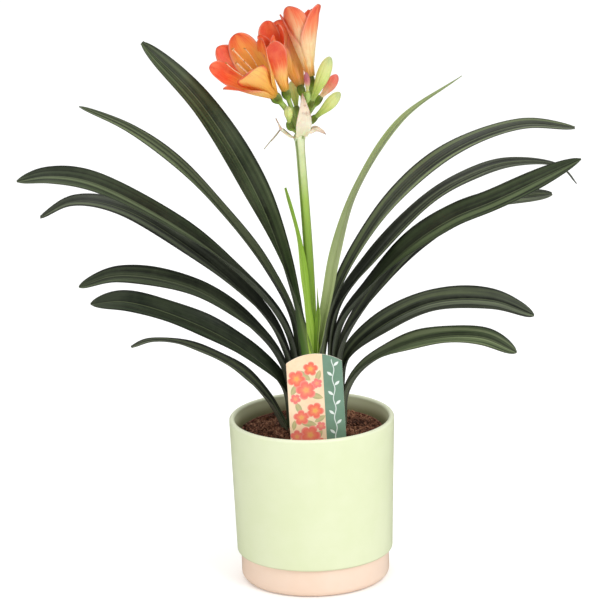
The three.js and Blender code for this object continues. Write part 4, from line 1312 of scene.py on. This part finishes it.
LABEL_WIDTH = 50
LABEL_THICKNESS = 0.8 * MM
LABEL_SHOULDER = 86
LABEL_ARCH = 8
LABEL_BURIED = 34
LABEL_TAPER_FROM = 4
LABEL_POINT_WIDTH = 10
LABEL_FOOT = Vector((6, -50, 133.3)) * MM
LABEL_LEAN = 1.7
LABEL_TILT = 3.0
LABEL_BEVEL = 0.15 * MM
STRIP_FROM = 7.5  # where the grey-green strip starts, in millimetres right of the card's middle
SPRIG_ACROSS = 16.4  # and where its sprig climbs
SPRIG_STEP = 9.2  # how far its leaves are apart
SPRIG_SWAY = 0.341  # in radians a millimetre, about half a wave from leaf to leaf
CREAM = "fbd6ae"
STRIP_GREEN = "70937c"

# The printed blossoms: middle (across, up), radius in millimetres, turn in radians and how pink they are.
PRINTED_BLOSSOMS = [
    (-16.5, 71, 8.5, 0.2, 0.2), (-3.5, 80, 7.0, 1.1, 0.0), (-8.5, 60, 9.5, 0.7, 0.5),
    (1.5, 66, 5.0, 2.0, 0.9), (-18.5, 52, 5.0, 1.6, 0.8), (-14, 34, 7.5, 0.9, 0.3),
    (-1.5, 40, 8.0, 0.1, 0.1), (-19, 16, 6.5, 2.2, 0.6), (-7, 17, 9.5, 1.4, 0.4),
    (3, 25, 4.5, 0.5, 1.0), (3.5, 8, 6.0, 1.9, 0.2),
]
BLOSSOM_STOPS = [(0.0, "f3b53f"), (0.2, "f9b45a"), (0.4, "fb8a5c"), (0.75, "f96b52"), (1.0, "f9a08c")]

# The printed leaves: middle, length in millimetres and turn in degrees.
PRINTED_LEAVES = [
    (-10, 74, 16, 40), (3, 73, 12, 110), (-19, 61, 13, 120), (0, 54, 14, 20), (-16, 43, 13, 70),
    (2.5, 32, 12, 150), (-8, 28, 15, 10), (-14, 8, 14, 60), (0, 16, 13, 130), (-21, 27, 10, 100),
]
SPRIG_LEAVES = [
    (SPRIG_ACROSS + 3.1 * (-1) ** k, 10 + SPRIG_STEP * k, 6.2, 90 - 48 * (-1) ** k) for k in range(9)
]


def plant_label():
    arch_radius = (LABEL_WIDTH**2 / 4 + LABEL_ARCH**2) / (2 * LABEL_ARCH)
    bm = bmesh.new()
    bmesh.ops.create_grid(bm, x_segments=28, y_segments=64, size=1)
    for vert in bm.verts:
        x = vert.co.x * LABEL_WIDTH / 2
        arch = math.sqrt(arch_radius**2 - x**2) - arch_radius + LABEL_ARCH
        height = lerp(-LABEL_BURIED, LABEL_SHOULDER + arch, (vert.co.y + 1) / 2)
        taper = min(1.0, max(0.0, (height + LABEL_BURIED) / (LABEL_BURIED - LABEL_TAPER_FROM)))
        x *= lerp(LABEL_POINT_WIDTH / LABEL_WIDTH, 1, taper)
        vert.co = Vector((x, 0, height)) * MM
    bm.normal_update()
    bmesh.ops.solidify(bm, geom=list(bm.faces), thickness=LABEL_THICKNESS)
    bmesh.ops.recalc_face_normals(bm, faces=bm.faces)
    middle = sum((vert.co.y for vert in bm.verts)) / len(bm.verts)
    bmesh.ops.translate(bm, verts=bm.verts, vec=(0, -middle, 0))
    rim = [edge for edge in bm.edges if edge.calc_face_angle(0) > 1]
    bmesh.ops.bevel(bm, geom=rim, offset=LABEL_BEVEL, segments=2, profile=0.5, affect="EDGES", material=-1)
    printed = bm.loops.layers.uv.new("print")
    for face in bm.faces:
        face.material_index = 0 if face.normal.y < -0.9 else 1
        for loop in face.loops:
            loop[printed].uv = (loop.vert.co.x / MM, loop.vert.co.z / MM)
    lean = Matrix.Rotation(-math.radians(LABEL_LEAN), 4, "Y")
    tilt = Matrix.Rotation(math.radians(LABEL_TILT), 4, "X")
    bmesh.ops.transform(bm, matrix=Matrix.Translation(LABEL_FOOT) @ lean @ tilt, verts=bm.verts)
    return bm


def motif_group(name):
    """A new group for a printed motif: where it is, and how far out from its middle or its rib."""
    inputs = [(label, "Vector", (0, 0, 0)) for label in ("Vector", "Middle")]
    inputs += [(label, "Float", 1.0) for label in ("Size", "Turn")]
    return new_group(name, inputs, [("Mask", "Float"), ("Out", "Float")])


def stamped(tree, motif, spot, middle, size, turn):
    """The outputs of a printed motif's group, at its place on the card."""
    inputs = {"Vector": spot, "Middle": (*middle, 0), "Size": size, "Turn": turn}
    return node(tree, "Group", inputs, node_tree=motif).outputs


def blossom_group():
    """One printed blossom with five round petals. Its size is its radius."""
    tree, start, end = motif_group("printed_blossom")
    inputs = {0: start.outputs["Vector"], 1: start.outputs["Middle"]}
    offset = node(tree, "VectorMath", inputs, operation="SUBTRACT").outputs[0]
    split = axes(tree, offset)
    angle = math_node(tree, "ARCTAN2", split["Y"], split["X"])
    angle = times(tree, math_node(tree, "ADD", angle, start.outputs["Turn"]), 2.5)
    lobes = math_node(tree, "POWER", math_node(tree, "ABSOLUTE", math_node(tree, "COSINE", angle)), 0.45)
    edge = math_node(tree, "MULTIPLY_ADD", lobes, 0.42, 0.58)
    edge = times(tree, edge, start.outputs["Size"])
    distance = node(tree, "VectorMath", {0: offset}, operation="LENGTH").outputs["Value"]
    out = math_node(tree, "DIVIDE", distance, edge)
    feed(tree, end, {"Mask": spread(tree, out, 1.03, 0.95), "Out": out})
    return tree


def printed_leaf_group():
    """One printed pointed leaf. Its size is its length."""
    tree, start, end = motif_group("printed_leaf")
    middle = start.outputs["Middle"]
    inputs = {"Vector": start.outputs["Vector"], "Center": middle, "Angle": start.outputs["Turn"]}
    turned = node(tree, "VectorRotate", inputs, rotation_type="Z_AXIS").outputs[0]
    offset = node(tree, "VectorMath", {0: turned, 1: middle}, operation="SUBTRACT").outputs[0]
    split = axes(tree, offset)
    half = times(tree, start.outputs["Size"], 0.5)
    along = math_node(tree, "DIVIDE", split["X"], half)
    width = times(tree, math_node(tree, "MULTIPLY_ADD", times(tree, along, along), -1.0, 1.0), 0.42)
    out = math_node(tree, "DIVIDE", math_node(tree, "ABSOLUTE", split["Y"]), half)
    inside = math_node(tree, "SUBTRACT", width, out)
    feed(tree, end, {"Mask": spread(tree, inside, -0.02, 0.05), "Out": out})
    return tree


def card_print():
    finish = {"Roughness": 0.45, "Coat Weight": 0.4, "Coat Roughness": 0.15}
    material, tree, shader = new_material("label_print", finish)
    spot = node(tree, "UVMap", uv_map="print").outputs[0]
    split = axes(tree, spot)
    across, height = split["X"], split["Y"]
    blossom, printed_leaf = blossom_group(), printed_leaf_group()
    colour = mottled(tree, CREAM, "fce6c4", 0.8, 0.06, spot)["Colour"]
    for x, y, length, turn in PRINTED_LEAVES:
        leaf_print = stamped(tree, printed_leaf, spot, (x, y), length, math.radians(turn))
        green = mix(tree, spread(tree, leaf_print["Out"], 0.0, 0.3), "b7b272", "9aa365")
        colour = mix(tree, times(tree, leaf_print["Mask"], 0.75), colour, green)
    for x, y, radius, turn, pink in PRINTED_BLOSSOMS:
        bloom_print = stamped(tree, blossom, spot, (x, y), radius, turn)
        petals = mix(tree, 0.45 * pink, ramp(tree, bloom_print["Out"], BLOSSOM_STOPS), "ef8f9a")
        colour = mix(tree, bloom_print["Mask"], colour, petals)
    strip = spread(tree, across, STRIP_FROM - 0.15, STRIP_FROM + 0.15)
    green = mottled(tree, STRIP_GREEN, "7b9d87", 0.7, 0.1, spot)["Colour"]
    sway = times(tree, math_node(tree, "SINE", times(tree, height, SPRIG_SWAY)), 0.9)
    stem = off_middle(tree, math_node(tree, "SUBTRACT", across, SPRIG_ACROSS), sway)
    white = times(tree, spread(tree, stem, 0.5, 0.25), spread(tree, height, 89, 87))
    for x, y, length, turn in SPRIG_LEAVES:
        leaf_print = stamped(tree, printed_leaf, spot, (x, y), length, -math.radians(turn))
        white = math_node(tree, "MAXIMUM", white, leaf_print["Mask"])
    green = mix(tree, white, green, "e8f0ea")
    feed(tree, shader, {"Base Color": mix(tree, strip, colour, green)})
    bumped(tree, shader, noise_value(tree, spot, 1.2, 3.0), 0.05, 0.1 * MM)
    return material


def card_back():
    material, tree, shader = new_material("label_back", {"Roughness": 0.55})
    patches = skinned(tree, shader, "f3e7d2", "fbf6ea", 0.6, 40.0, object_coordinates(tree))
    bumped(tree, shader, patches, 0.08, 0.2 * MM)
    return material


finished(plant_label(), "plant_label_card", [card_print(), card_back()], "label_card", "plant_label")

# ---------------------------------------------------------------- studio
# A plain white floor, a white sky that is brightest overhead, a soft lamp on the right and weak ones on the
# left and above, and a long lens a little above the plant.

SKY_HIGH = 1.2
SKY_LOW = 0.12
SKY_MIRRORED = 0.3  # a studio is darker around its lamps, which keeps the leaves dark between highlights
CAMERA_PLACE = (0, -3.8158, 1.3636)
CAMERA_AIM = (-0.0076, 0, 0.2615)
CAMERA_ROLL = -1.59
CAMERA_LENS = 264.34
FLOOR_SIZE = 12
FLOOR_GLOW = 0.12

scene = bpy.context.scene
scene.view_settings.view_transform = "Standard"

world = bpy.data.worlds.new("sky")
world.use_nodes = True
tree = world.node_tree
direction = axes(tree, node(tree, "TexCoord").outputs["Generated"])
strength = spread(tree, direction["Z"], -0.1, 0.9, SKY_LOW, SKY_HIGH)
mirrored = node(tree, "LightPath").outputs["Is Glossy Ray"]
strength = times(tree, strength, math_node(tree, "MULTIPLY_ADD", mirrored, SKY_MIRRORED - 1, 1.0))
feed(tree, tree.nodes["Background"], {"Color": (1, 1, 1, 1), "Strength": strength})
scene.world = world

floor_finish = {
    "Base Color": (0.95, 0.95, 0.95, 1), "Roughness": 0.9, "Specular IOR Level": 0.1,
    "Emission Color": (1, 1, 1, 1), "Emission Strength": FLOOR_GLOW,
}
floor_material, tree, shader = new_material("studio_floor", floor_finish)
bm = bmesh.new()
bmesh.ops.create_grid(bm, x_segments=4, y_segments=4, size=FLOOR_SIZE / 2)
floor_mesh = bpy.data.meshes.new("studio_floor")
bm.to_mesh(floor_mesh)
bm.free()
floor_mesh.materials.append(floor_material)
floor = bpy.data.objects.new("studio_floor", floor_mesh)
bpy.context.collection.objects.link(floor)
floor.visible_glossy = False  # or the dark leaves mirror it and turn grey


def aimed(thing, place, aim, roll=0.0):
    """Puts a lamp or camera in its place, looking at a point."""
    look = (Vector(aim) - Vector(place)).to_track_quat("-Z", "Y").to_matrix()
    turned = look @ Matrix.Rotation(math.radians(roll), 3, "Z")
    thing.matrix_world = Matrix.Translation(place) @ turned.to_4x4()
    bpy.context.collection.objects.link(thing)


def lamp(name, place, size, power):
    light = bpy.data.lights.new(name, "AREA")
    light.size = size
    light.energy = power
    aimed(bpy.data.objects.new(name, light), place, (0, 0, 0.25))


lamp("key_lamp", (1.5, -2.0, 1.8), 1.0, 28)
lamp("fill_lamp", (-2.2, -1.6, 1.2), 1.6, 7)
lamp("top_lamp", (-0.3, 0.5, 2.3), 1.0, 5)

camera = bpy.data.cameras.new("camera")
camera.lens = CAMERA_LENS
camera.sensor_width = 36
camera.clip_end = 50
camera_object = bpy.data.objects.new("camera", camera)
aimed(camera_object, CAMERA_PLACE, CAMERA_AIM, CAMERA_ROLL)
scene.camera = camera_object
